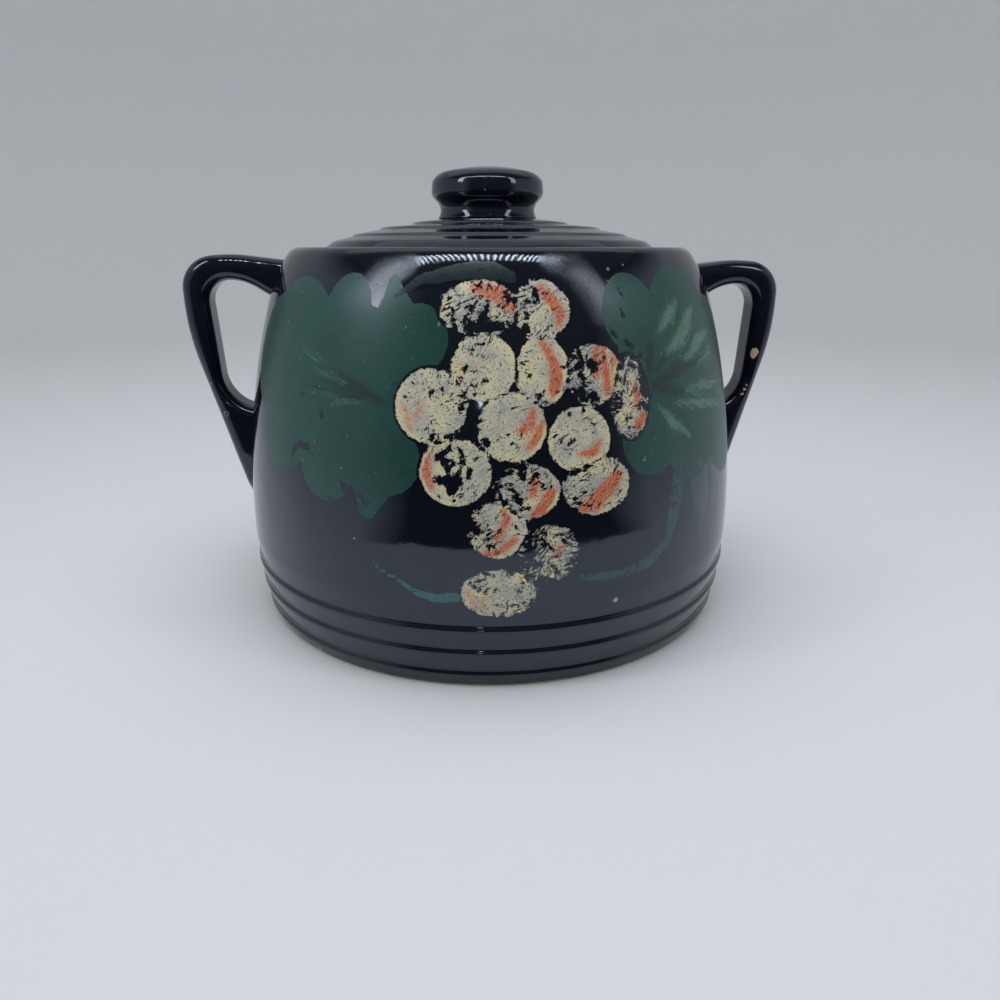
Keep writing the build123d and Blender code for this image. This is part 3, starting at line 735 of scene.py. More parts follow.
@node_group("Worn paint", ("Place", "Depth", "Raggedness", "Worn", "Along", "Across"), ("Mask",))
def worn_paint(nodes, place, depth, raggedness, worn, along, across):
    """Mask of paint with a ragged edge and lost flakes, from how deep a point lies inside its outline."""
    edge = nodes.noise(place, 520.0, 4.0, 0.62) - 0.5
    crumb = nodes.noise(place, 2600.0, 2.0, 0.6) - 0.5
    inside = nodes.ramp((edge + crumb * 0.5) * (raggedness * 6.0) + depth, -0.05, 0.12)
    flake = nodes.noise(nodes.vector(along * 0.42, across * 0.80), 1.0, 6.0, 0.72, 0.4)
    bared = nodes.noise(place, 150.0, 2.0, 0.5) * 0.30 + flake * 0.70
    kept = nodes.ramp(bared - (worn * 0.25 + 0.372), -0.004, 0.008)
    pepper = nodes.noise(nodes.vector(along * 1.3, across * 2.4), 1.0, 3.0, 0.7)
    dots = nodes.ramp(pepper - (worn * 0.11 + 0.375), -0.01, 0.02)
    return (inside * (kept * dots),)


@node_group("Glaze skin", ("Place",), ("Height", "Dull"))
def glaze_skin(nodes, place):
    """Height of the glaze's slow waviness and small pits, and a mask of where it lies a little dull."""
    wave = nodes.noise(place, 70.0, 1.0, 0.4) + nodes.noise(place, 420.0, 2.0, 0.5) * 0.06
    pit = nodes.add("ShaderNodeTexVoronoi", {"Vector": place, "Scale": 360.0}, "Distance")
    chance = nodes.ramp(nodes.noise(place, 95.0, 2.0), 0.56, 0.66)
    pits = nodes.ramp(pit, 0.02, 0.10, 1.0, 0.0) * chance
    haze = nodes.ramp(nodes.noise(place, 26.0, 3.0, 0.6), 0.52, 0.75)
    dust = nodes.ramp(nodes.noise(place, 1500.0, 3.0, 0.7), 0.60, 0.80)
    return pits * -0.10 + wave, nodes.math("MAXIMUM", haze * 0.5, dust)


@node_group("Bare clay", ("Place", "Chip Depth", "Ring Depth"), ("Chip", "Ring"))
def bare_clay(nodes, place, chip_depth, ring_depth):
    """Mask of chips that bare the clay, and of the pale rings that small burst bubbles leave."""
    rough = nodes.noise(place, 900.0, 3.0, 0.6) * 1.4 - 0.7
    on_ring = 0.17 - abs(ring_depth + rough * 0.5 - 0.45)
    return nodes.ramp(chip_depth + rough, 0.0, 0.18), nodes.ramp(on_ring, 0.0, 0.1)


def new_material(name):
    """An empty material, its nodes and its Principled shader."""
    material = bpy.data.materials.new(name)
    material.use_nodes = True
    return material, Nodes(material.node_tree), material.node_tree.nodes["Principled BSDF"]


# ---------------------------------------------------------------- materials

BLACK = (0.0, 0.0, 0.0, 1.0)
# The glaze's optics: a lead glaze bends light more than glass does, and its mirror image is faintly blue.
GLAZE = {"IOR": 1.72, "Specular Tint": (0.77, 0.86, 1.0, 1.0)}
GLAZE_ROUGHNESS = 0.055
# How rough the worn paint and the clay are.
ROUGHNESS = {"tendril": 0.28, "leaf": 0.36, "brush_leaf": 0.24, "grape": 0.62, "clay": 0.8}


class Glaze:
    """A material of black glaze, with its relief, its dull patches and the clay bared in its chips."""

    def __init__(self, name, colours):
        self.material, self.nodes, self.shader = new_material(name)
        self.colours = colours
        self.place = self.nodes.place()
        self.height, dull = glaze_skin(self.nodes, self.place)
        wear = self.nodes.attribute("chip"), self.nodes.attribute("ring")
        self.chip, self.ring = bare_clay(self.nodes, self.place, *wear)
        self.rough = dull * 0.10 + GLAZE_ROUGHNESS

    def finish(self, base, clay, rough, height):
        """Lays the bare clay and the rings over a base colour, and sets the shader."""
        base = self.nodes.mix(clay, base, self.colours.clay)
        base = self.nodes.mix(self.ring, base, self.colours.ring)
        relief = {"Height": height, "Strength": 0.35, "Distance": 0.0006}
        normal = self.nodes.add("ShaderNodeBump", relief)
        self.nodes.feed(self.shader, {"Base Color": base, "Roughness": rough, "Normal": normal, **GLAZE})
        return self.material


def black_glaze(name, colours, seam=False):
    """Gloss black glaze with bare clay in its chips, and along a knob's mould seam if it has one."""
    glaze = Glaze(name, colours)
    nodes, clay = glaze.nodes, glaze.chip
    if seam:
        beads = nodes.noise(glaze.place, 1100.0, 1.0, 0.5)
        clay = nodes.math("MAXIMUM", clay, nodes.ramp(nodes.attribute("seam") + beads, 1.58, 1.66))
    rough = nodes.math("ADD", clay * 0.6, glaze.rough, clamp=True)
    return glaze.finish(colours.glaze, clay, rough, glaze.height)


def grape_colour(nodes, place, colours, depth, along, across):
    """Cream paint with grey and yellow strokes, blush strokes and a thick broken rim. Also the rim mask."""
    streak = nodes.noise(nodes.vector(along * 0.22, across * 1.15), 1.0, 4.0, 0.68)
    cloud = nodes.noise(place, 170.0, 3.0, 0.6)
    grain = nodes.noise(place, 2300.0, 2.0, 0.7)
    worn = nodes.attribute("worn")
    mixed = streak * 0.55 + cloud * 0.45 + worn * -0.22 + grain * 0.30
    cream = nodes.mix(nodes.ramp(mixed, 0.49, 0.64), colours.grape_thin, colours.grape)
    warm = nodes.ramp(streak * -0.5 + cloud * 1.5, 0.50, 0.74)
    cream = nodes.mix(warm * 0.85, cream, colours.rim)
    edge = (streak - 0.5) * 3.4 + nodes.attribute("blush")
    cream = nodes.mix(nodes.ramp(edge, -1.9, 0.0) * 0.45, cream, colours.blush)
    dry = nodes.ramp(grain * 0.4 + streak, 0.68, 0.84, 1.0, 0.30)
    cream = nodes.mix(nodes.ramp(edge, -0.6, 0.2) * dry, cream, colours.blush)
    band = nodes.ramp(0.50 - abs(depth - 0.60), 0.0, 0.3)
    broken = nodes.ramp(nodes.noise(place, 85.0, 3.0), 0.42, 0.52)
    rim = band * broken * nodes.ramp(worn, 0.20, 0.27, 1.0, 0.0)
    return nodes.mix(rim * 0.85, cream, colours.rim), rim


def leaf_colour(nodes, place, colours):
    """Leaf paint with dark strokes from the veins' base, pale dry-brushed ones and one painted highlight
    line, and small scratches.
    """
    fan = nodes.vector(nodes.attribute("vein_bearing") * 40.0, nodes.attribute("vein_distance") * 0.11)
    hairs = nodes.noise(fan, 1.0, 4.0, 0.7) - 0.5
    dry = hairs * 8.0 + (nodes.noise(place, 1300.0, 3.0, 0.7) - 0.5) * 3.6
    # Pale dry-brush strokes, with the painted highlight line on the right leaf among them.
    light = nodes.ramp(nodes.attribute("leaf_light") + dry, -0.4, 1.6)
    shade = nodes.ramp(dry * 0.3 + nodes.attribute("leaf_dark"), -0.8, 0.9)
    mottle = nodes.ramp(nodes.noise(place, 60.0, 4.0, 0.6), 0.35, 0.70, 0.0, 0.35)
    paint = nodes.mix(mottle, colours.leaf, colours.leaf_dark)
    paint = nodes.mix(shade * 0.95, paint, colours.leaf_dark)
    paint = nodes.mix(light * 0.45, paint, colours.leaf_light)
    dust = nodes.ramp(nodes.noise(place, 700.0, 1.0, 0.4), 0.745, 0.775, 0.0, 0.6)
    return nodes.mix(dust, paint, colours.leaf_light)


def painted_glaze(colours):
    """Black glaze with the worn cold-painted vine over it, and the bare foot under it."""
    glaze = Glaze("Painted black glaze", colours)
    nodes, place = glaze.nodes, glaze.place
    along, across = brush_strokes(nodes, place)

    def painted(depth, raggedness, worn):
        return worn_paint(nodes, place, depth, raggedness, worn, along, across)[0]

    grape_depth, worn = nodes.attribute("grape"), nodes.attribute("worn")
    hole = nodes.attribute("grape_bare") + (nodes.noise(place, 750.0, 4.0, 0.7) * 3.4 - 1.7)
    grape = painted(nodes.math("MINIMUM", grape_depth, hole * -1.0), worn * 0.9 + 0.16, worn)
    bared = nodes.attribute("leaf_bare") + (nodes.noise(place, 800.0, 3.0, 0.65) * 3.2 - 1.6)
    leaf_kept = nodes.ramp(bared, -0.1, 0.25, 1.0, 0.0) * nodes.ramp(grape_depth, -0.9, -0.5, 1.0, 0.0)
    leaf = painted(nodes.attribute("leaf"), 0.10, -0.22) * leaf_kept
    brush_leaf = painted(nodes.attribute("brush_leaf"), 0.22, 0.16) * 0.85
    tendril = nodes.math("MAXIMUM", painted(nodes.attribute("tendril"), 0.14, 0.16) * 0.9,
                         painted(nodes.attribute("faint_tendril"), 0.50, 0.26) * 0.40)
    base = nodes.mix(tendril, colours.glaze, colours.tendril)
    base = nodes.mix(leaf, base, leaf_colour(nodes, place, colours))
    base = nodes.mix(brush_leaf, base, colours.brush_leaf)
    berries, rim = grape_colour(nodes, place, colours, grape_depth, along, across)
    base = nodes.mix(grape, base, berries)

    height = nodes.add("ShaderNodeSeparateXYZ", {0: place}, "Z")
    foot_edge = nodes.noise(place, 60.0, 3.0) * 0.0009 + height
    clay = nodes.math("MAXIMUM", glaze.chip, nodes.ramp(foot_edge, 0.0008, 0.0011, 1.0, 0.0))
    grain = nodes.ramp(nodes.noise(place, 4200.0, 3.0, 0.7), 0.36, 0.62, 0.08, 0.26)
    rough = glaze.rough + nodes.ramp(nodes.attribute("haze"), -3.0, 1.5) * grain
    masks = {"tendril": tendril, "leaf": leaf, "brush_leaf": brush_leaf, "grape": grape, "clay": clay}
    for name, mask in masks.items():
        rough = rough * (1.0 - mask) + mask * ROUGHNESS[name]
    paint_height = (grape * rim) * 0.07 + (grape * 0.10 + leaf * 0.03)
    return glaze.finish(base, clay, rough, glaze.height + paint_height)


def plain_stage(name, shade, roughness):
    """A plain matt surface for the studio."""
    material, nodes, shader = new_material(name)
    nodes.feed(shader, {"Base Color": (*shade, 1.0), "Roughness": roughness, "Specular IOR Level": 0.2})
    return material


# ---------------------------------------------------------------- outlines of the pieces

def outside_line(sizes):
    """The pot's outside from above the bands to the lip's crest: the wall, then two arcs that meet tangent.

    The lip's arc has its centre below the crest. The shoulder's arc starts square to the wall's normal n
    at P, and touches the lip's circle (centre C, radius r): its radius is (|D|^2 - r^2) / 2(n.D - r),
    with D = P - C.
    """
    start = RIM_HEIGHT - sizes.shoulder_drop
    rise = (start - sizes.belly_height) / sizes.wall_arc
    outward = np.array([math.sqrt(1 - rise**2), rise])
    shoulder = np.array([float(wall_radius(sizes, start)), start])
    lip = np.array([shoulder[0] - sizes.lip_inset, RIM_HEIGHT - sizes.lip_outer_round])
    across = shoulder - lip
    excess = across @ across - sizes.lip_outer_round**2
    radius = excess / (2 * (across @ outward - sizes.lip_outer_round))
    centre = shoulder - outward * radius
    meet = math.atan2(lip[1] - centre[1], lip[0] - centre[0])
    wall = np.linspace(sizes.belly_height - 2.5 * MM, start, 80)
    return np.concatenate([
        np.stack([wall_radius(sizes, wall), wall], axis=1),
        circle(centre, radius, math.atan2(rise, outward[0]), meet)[1:],
        circle(lip, sizes.lip_outer_round, meet, math.pi / 2)[1:],
    ])


def body_outline(sizes):
    """The pot in half section, from under its floor, up the outside, over the lip and down the inside."""
    foot_edge, corner = 0.8 * MM, 12 * MM
    outside = outside_line(sizes)
    crest = outside[-1]
    gallery = crest[0] - sizes.lip_width
    throat = gallery - sizes.ledge_width
    foot = float(wall_radius(sizes, 0.0))
    ring_inside = foot - sizes.foot_ring
    bands = []
    for number in range(sizes.band_count):
        ridge = sizes.lowest_band + number * sizes.band_pitch
        ledge = ridge + sizes.band_ledge
        bands.append((float(wall_radius(sizes, ridge)) + sizes.band_proud, ridge))
        bands.append((float(wall_radius(sizes, ledge)) - sizes.band_tuck, ledge))
    floor = sizes.foot_recess + sizes.floor
    inner = np.linspace(RIM_HEIGHT - sizes.ledge_root, floor + corner, 60)
    inner_foot = float(wall_radius(sizes, floor + corner, sizes.wall))
    return np.concatenate([
        [(0.0, sizes.foot_recess), (ring_inside - sizes.foot_recess, sizes.foot_recess),
         (ring_inside, 0.0), (foot - foot_edge, 0.0), (foot, foot_edge)],
        bands,
        outside,
        level_arc(crest, (gallery, RIM_HEIGHT - sizes.lip_round))[1:],
        [(gallery, SEAT_HEIGHT), (throat, SEAT_HEIGHT), (throat, SEAT_HEIGHT - sizes.ledge_thickness)],
        np.stack([wall_radius(sizes, inner, sizes.wall), inner], axis=1),
        circle((inner_foot - corner, floor + corner), corner, 0.0, -math.pi / 2, 14)[1:],
        [(0.0, floor)],
    ])


def lid_outline(sizes):
    """The lid in half section as a closed line: up its edge, in over the tiers, and out underneath."""
    tier_radii = [LID_RADIUS - inset * MM for inset in (34.4, 23.4, 13.9, 6.9)]

    def dome(radius):
        return CROWN_HEIGHT - sizes.dome_drop * (radius / tier_radii[-1]) ** sizes.dome_power

    tiers = []
    for radius in tier_radii[:-1]:
        tiers += [(radius, dome(radius)), (radius + sizes.tier_run, dome(radius) - sizes.tier_step)]
    tiers.append((tier_radii[-1], dome(tier_radii[-1])))
    flange_outer = LID_RADIUS - sizes.flange_inset
    flange_inner = flange_outer - sizes.flange_width
    ceiling = (sizes.cavity_radius, CROWN_HEIGHT - sizes.thickness)
    return np.concatenate([
        [(flange_outer, SEAT_HEIGHT), (LID_RADIUS, SEAT_HEIGHT)],
        arc((LID_RADIUS, SEAT_HEIGHT + sizes.edge_height), tiers[-1], 0.45 * MM),
        tiers[::-1][1:],
        [(sizes.knob_base, CROWN_HEIGHT), (sizes.cavity_radius, CROWN_HEIGHT), ceiling],
        arc(ceiling, (flange_inner, dome(flange_inner) - sizes.thickness), -1.6 * MM)[1:],
        [(flange_inner, FLANGE_BOTTOM), (flange_outer, FLANGE_BOTTOM), (flange_outer, SEAT_HEIGHT)],
    ])


def knob_outline(sizes):
    """The knob in half section, from its hollow's top, round its foot and up the outside to its top."""
    base, hollow_round, dome_radius = CROWN_HEIGHT, 4 * MM, 65 * MM
    hollow = (sizes.cavity_radius, base + sizes.cavity_depth)
    hollow_centre = (hollow[0] - hollow_round, hollow[1] - hollow_round)
    head_bottom = (KNOB_RADIUS - 0.75 * MM, base + sizes.head_bottom)
    neck = (sizes.neck_radius, base + sizes.neck_height)
    dome_edge_radius = KNOB_RADIUS - 5.4 * MM
    dome_drop = dome_radius - math.sqrt(dome_radius**2 - dome_edge_radius**2)
    dome_edge = (dome_edge_radius, KNOB_TOP - dome_drop)
    return np.concatenate([
        [(0.0, hollow[1])],
        circle(hollow_centre, hollow_round, math.pi / 2, 0.0, 10),
        [(hollow[0], base), (sizes.knob_base, base)],
        arc((sizes.knob_base, base), neck, -0.25 * MM)[1:],
        arc(neck, head_bottom, -0.45 * MM)[1:],
        [(KNOB_RADIUS, base + sizes.head_bottom + 1.7 * MM)],
        arc((KNOB_RADIUS - 0.3 * MM, base + 12.0 * MM), dome_edge, 0.8 * MM),
        level_arc((0.0, KNOB_TOP), dome_edge)[::-1][1:],
    ])


def handle_lines(handle, body):
    """The ear's outside and the finger gap as lines of x and z from the ear's top, and the gap's foot."""
    middle = sum(HANDLE_TOPS.values()) / 2
    top = 0.2 * MM     # height of the arch's corner, which its bend cuts off
    sunk = 5.5 * MM    # how deep the ear's ends reach into the wall
    shoulder = float(wall_radius(body, RIM_HEIGHT - body.shoulder_drop))
    root = shoulder - 7 * MM
    level = shoulder + handle.top_run
    spine_end = top - handle.spine
    turn = handle.tail_height + handle.tail_turn - middle
    tail, tail_z = float(wall_radius(body, handle.tail_height)), handle.tail_height - middle
    outside = rounded_path((
        (root, top - (level - root) * math.tan(handle.top_rise), 0.0),
        (level, top, handle.top_bend),
        (HANDLE_REACH, top - handle.corner_drop, handle.corner),
        (HANDLE_REACH, spine_end, handle.spine_bend),
        (HANDLE_REACH - (spine_end - turn) * math.tan(handle.lean), turn, handle.tail_bend),
        (tail - 1.0 * MM, tail_z, 3 * MM),
        (tail - sunk, tail_z - 4.0 * MM, 0.0),
    ), 0.5 * MM)
    under = top - handle.top_arm
    root_end = shoulder + handle.root_length * math.cos(handle.root_slope)
    side = HANDLE_REACH - handle.spine_thickness
    bottom = handle.opening_bottom - middle
    gap = rounded_path((
        (root, under - (root_end - root) * math.tan(handle.root_slope), 0.0),
        (root_end, under, handle.root_bend),
        (side, under, handle.opening_corner),
        (side - (under - bottom) * math.tan(handle.opening_lean), bottom, handle.opening_foot),
        (float(wall_radius(body, handle.opening_bottom)) - 6 * MM, bottom, 1.5 * MM),
        (tail - sunk, tail_z + 8 * MM, 0.0),
    ), 0.5 * MM)
    return outside, gap, bottom


def handle_stations(outside, gap, foot, handle):
    """Where sections cross the two lines, as shares of each, so that no section twists."""
    def share(distances):
        return float(np.argmin(distances)) / (len(distances) - 1)

    top = outside[:, 1].max()
    side = gap[:, 0].max()
    corner = handle.opening_foot
    under = top - handle.top_arm
    arm_pairs = (    # points of the top arm, outside and below
        ((side - 14 * MM, top), (side - 14 * MM, under)),
        ((side - 6 * MM, top), (side - 7 * MM, under)),
        ((HANDLE_REACH - 3.4 * MM, top - 4.4 * MM), (side - 2.2 * MM, under - 2.2 * MM)),
    )
    spine_pairs = (    # heights of the spine and the tail, and points of the gap
        (top - 16 * MM, (side, under - 8.5 * MM)),
        (foot + corner * 1.2, (side, foot + corner)),
        (foot + 3 * MM, (side - corner * 0.45, foot + corner * 0.3)),
        (foot - 9 * MM, (side - corner * 0.9, foot)),
        (foot - 24 * MM, (side - corner * 1.3, foot)),
    )
    outer_keys = [share(np.hypot(*(outside - outer).T)) for outer, _ in arm_pairs]
    outer_keys += [share(np.abs(outside[:, 1] - height)) for height, _ in spine_pairs]
    gap_keys = [share(np.hypot(*(gap - inside).T)) for _, inside in arm_pairs + spine_pairs]
    outer_at = np.linspace(0.0, 1.0, 300)
    return outer_at, np.interp(outer_at, [0.0, *outer_keys, 1.0], [0.0, *gap_keys, 1.0])


def along_line(line, shares):
    """Points of a line at shares of its length."""
    run = run_along(line)
    return read_off(line, run, shares * run[-1])


def nearest(points, line):
    """Each point's distance to the nearest point of a line."""
    return np.sqrt(((points[..., None, :] - line) ** 2).sum(-1).min(-1))


def handle_points(handle, body):
    """Rings of the right-hand ear: round each section, out along the front face and back along the rear.

    The half width at a depth d below the ear's outline is a quarter round of the edge plus a slow swell.
    """
    outside, gap, foot = handle_lines(handle, body)
    outer_at, gap_at = handle_stations(outside, gap, foot, handle)
    outer, inner = along_line(outside, outer_at), along_line(gap, gap_at)
    shares = (1 - np.cos(np.linspace(0.0, math.pi, 27))) / 2
    flat = outer[:, None, :] + shares[None, :, None] * (inner - outer)[:, None, :]
    depth = np.minimum(nearest(flat, outer), nearest(flat, inner))
    edge = HANDLE_HALF_WIDTH - handle.edge_inset - handle.edge_round
    bitten = np.clip(handle.edge_round - depth, 0.0, handle.edge_round)
    swell = fade(depth, 0.0, 4.2 * MM)
    half = edge + np.sqrt(handle.edge_round**2 - bitten**2) + handle.edge_inset * (1 - (1 - swell) ** 2)
    front = np.stack([flat[..., 0], -half, flat[..., 1]], axis=2)
    rear = front[:, ::-1] * np.array([1.0, -1.0, 1.0])
    rim_shares = np.linspace(0.0, 1.0, 6)[1:-1][None, :, None]
    inner_rim = front[:, -1:] + rim_shares * (rear[:, :1] - front[:, -1:])
    outer_rim = rear[:, -1:] + rim_shares * (front[:, :1] - rear[:, -1:])
    return np.concatenate([front, inner_rim, rear, outer_rim], axis=1)


# ---------------------------------------------------------------- operators

# Chips and rings of the ears' glaze: x, y, z and radius in mm.
HANDLE_WEAR = {
    "ear_right": {"chips": ((99.0, -7.4, 88.8, 1.6), (98.6, -7.4, 87.4, 1.3), (97.2, -7.4, 76.2, 0.7),
                            (96.5, -7.4, 74.6, 0.8), (95.8, -7.4, 73.0, 0.7))},
    "ear_left": {"rings": ((-95.8, -7.2, 69.3, 1.3), (-100.1, -7.2, 80.2, 0.9))},
}


class BEANPOT_OT_body(bpy.types.Operator):
    """Turn the glazed pot with its foot bands and gallery, and paint the vine on it"""

    bl_idname = "beanpot.body"
    bl_label = "Pot Body"

    def execute(self, context):
        sizes = context.scene.beanpot_body
        profile = soften(body_outline(sizes), sizes.glaze_softening)
        middles = (profile[1:] + profile[:-1]) / 2
        painted = middles[:, 0] > wall_radius(sizes, middles[:, 1]) - 3 * MM
        rows = rows_by_bend(profile, 0.22 * MM, np.where(painted, 1.2 * MM, 3.5 * MM))
        points = turned(rows[1:-1], azimuth_columns(360, 0.5), sizes.sway)
        piece = grid_mesh("pot_shell", points, first_pole=(0.0, *rows[0]), last_pole=(0.0, *rows[-1]))
        paint_wall(piece, sizes)
        material = painted_glaze(context.scene.beanpot_colours)
        finish_piece(piece, "pot", ["pot_body"], material)
        return {"FINISHED"}


class BEANPOT_OT_handles(bpy.types.Operator):
    """Model the two ear handles with softened edges, their ends flared and sunk into the wall"""

    bl_idname = "beanpot.handles"
    bl_label = "Ear Handles"

    def execute(self, context):
        ring = handle_points(context.scene.beanpot_handle, context.scene.beanpot_body)
        material = black_glaze("Handle black glaze", context.scene.beanpot_colours)
        ring[..., 2] -= ring[..., 2].max()
        half_turn = np.array([-1.0, -1.0, 1.0])
        for name, node, turn in (("ear_right", "handle_right", 1.0), ("ear_left", "handle_left", half_turn)):
            points = ring * turn + np.array([0.0, 0.0, HANDLE_TOPS[node]])
            caps = points[0].mean(axis=0), points[-1].mean(axis=0)
            piece = grid_mesh(name, points, first_pole=caps[0], last_pole=caps[1])
            give_wear(piece, **HANDLE_WEAR[name])
            finish_piece(piece, "pot", [node], material)
        return {"FINISHED"}


class BEANPOT_OT_lid(bpy.types.Operator):
    """Turn the tiered lid with its locating flange"""

    bl_idname = "beanpot.lid"
    bl_label = "Lid"

    def execute(self, context):
        sizes = context.scene.beanpot_lid
        profile = soften(lid_outline(sizes), sizes.glaze_softening, closed=True)
        profile = np.concatenate([profile, profile[:1]])
        rows = rows_by_bend(profile, 0.22 * MM, 1.6 * MM)[:-1]
        points = turned(rows, azimuth_columns(288), 0.1 * MM)
        piece = grid_mesh("lid_shell", points, wrap_rows=True)
        give_wear(piece)
        material = black_glaze("Lid black glaze", context.scene.beanpot_colours)
        finish_piece(piece, "lid", ["lid"], material)
        return {"FINISHED"}


class BEANPOT_OT_knob(bpy.types.Operator):
    """Turn the knob, with the seam that its two-part mould left down its front and back"""

    bl_idname = "beanpot.knob"
    bl_label = "Knob"

    def execute(self, context):
        sizes = context.scene.beanpot_lid
        seam_at, seam_width, hollow_radius = math.radians(-7.3), 0.45 * MM, 12 * MM
        profile = soften(knob_outline(sizes), sizes.glaze_softening)
        rows = rows_by_bend(profile, 0.2 * MM, 0.9 * MM)
        azimuths = azimuth_columns(240, 0.45)
        half_turn = (azimuths - seam_at) / 2
        off_seam = np.minimum(np.abs(np.sin(half_turn)), np.abs(np.cos(half_turn))) * 2 * KNOB_RADIUS
        outer = fade(rows[1:-1, :1], hollow_radius, hollow_radius + 4 * MM)
        near_seam = np.exp(-((off_seam / seam_width) ** 2)) * outer
        grow = (near_seam - 1.0) * sizes.knob_seam * (outer > 0)
        radial = np.stack([np.sin(azimuths), -np.cos(azimuths), np.zeros(len(azimuths))], axis=1)
        points = turned(rows[1:-1], azimuths, 0.06 * MM) + grow[..., None] * radial
        points += (KNOB_PLACE, 0.0, 0.0)
        bottom, top = ((KNOB_PLACE, 0.0, height) for height in (rows[0, 1], rows[-1, 1]))
        piece = grid_mesh("knob", points, first_pole=bottom, last_pole=top)
        give_attribute(piece, "seam", np.concatenate([near_seam.ravel(), [0.0, 0.0]]))
        give_wear(piece)
        material = black_glaze("Knob black glaze", context.scene.beanpot_colours, seam=True)
        finish_piece(piece, "lid", ["lid_knob"], material)
        return {"FINISHED"}


# The studio, its camera and its lamps: places and sizes in metres, powers in watts.
STUDIO_RADIUS = 1.5
STUDIO_HEIGHT = 1.5
STUDIO_CURVE = 0.5
PALE = (0.75, 0.762, 0.78)
CAMERA_PLACE = (-0.02544, -0.28117, RIM_HEIGHT - 0.0003)
CAMERA_TURN = math.radians(-5.9)
CAMERA_TILT = math.radians(90.0 - 18.54)
CAMERA_LENS = 27.04
FLAG_MIDDLE, FLAG_HALF_ANGLE = 2.0, 48.0
STUDIO_LAMPS = (    # name, place, size, power
    ("key", (-0.01, -0.10, 0.70), (0.56, 0.56), 1.72),
    ("left_lamp", (-0.25, -0.135, 0.345), (0.06, 0.26), 0.26),
    ("right_lamp", (0.25, -0.215, 0.355), (0.06, 0.26), 0.16),
)
BAR_ROW = {"count": 26, "middle": (-0.022, -0.1335, 0.378), "half_span": 0.148,
           "size": (0.0025, 0.032, 0.0025), "glow": 14.0}
FLASH = ((-0.0448, -0.2870, 0.1352), (0.005, 0.005, 0.006), 10.5)    # place, half sizes and glow


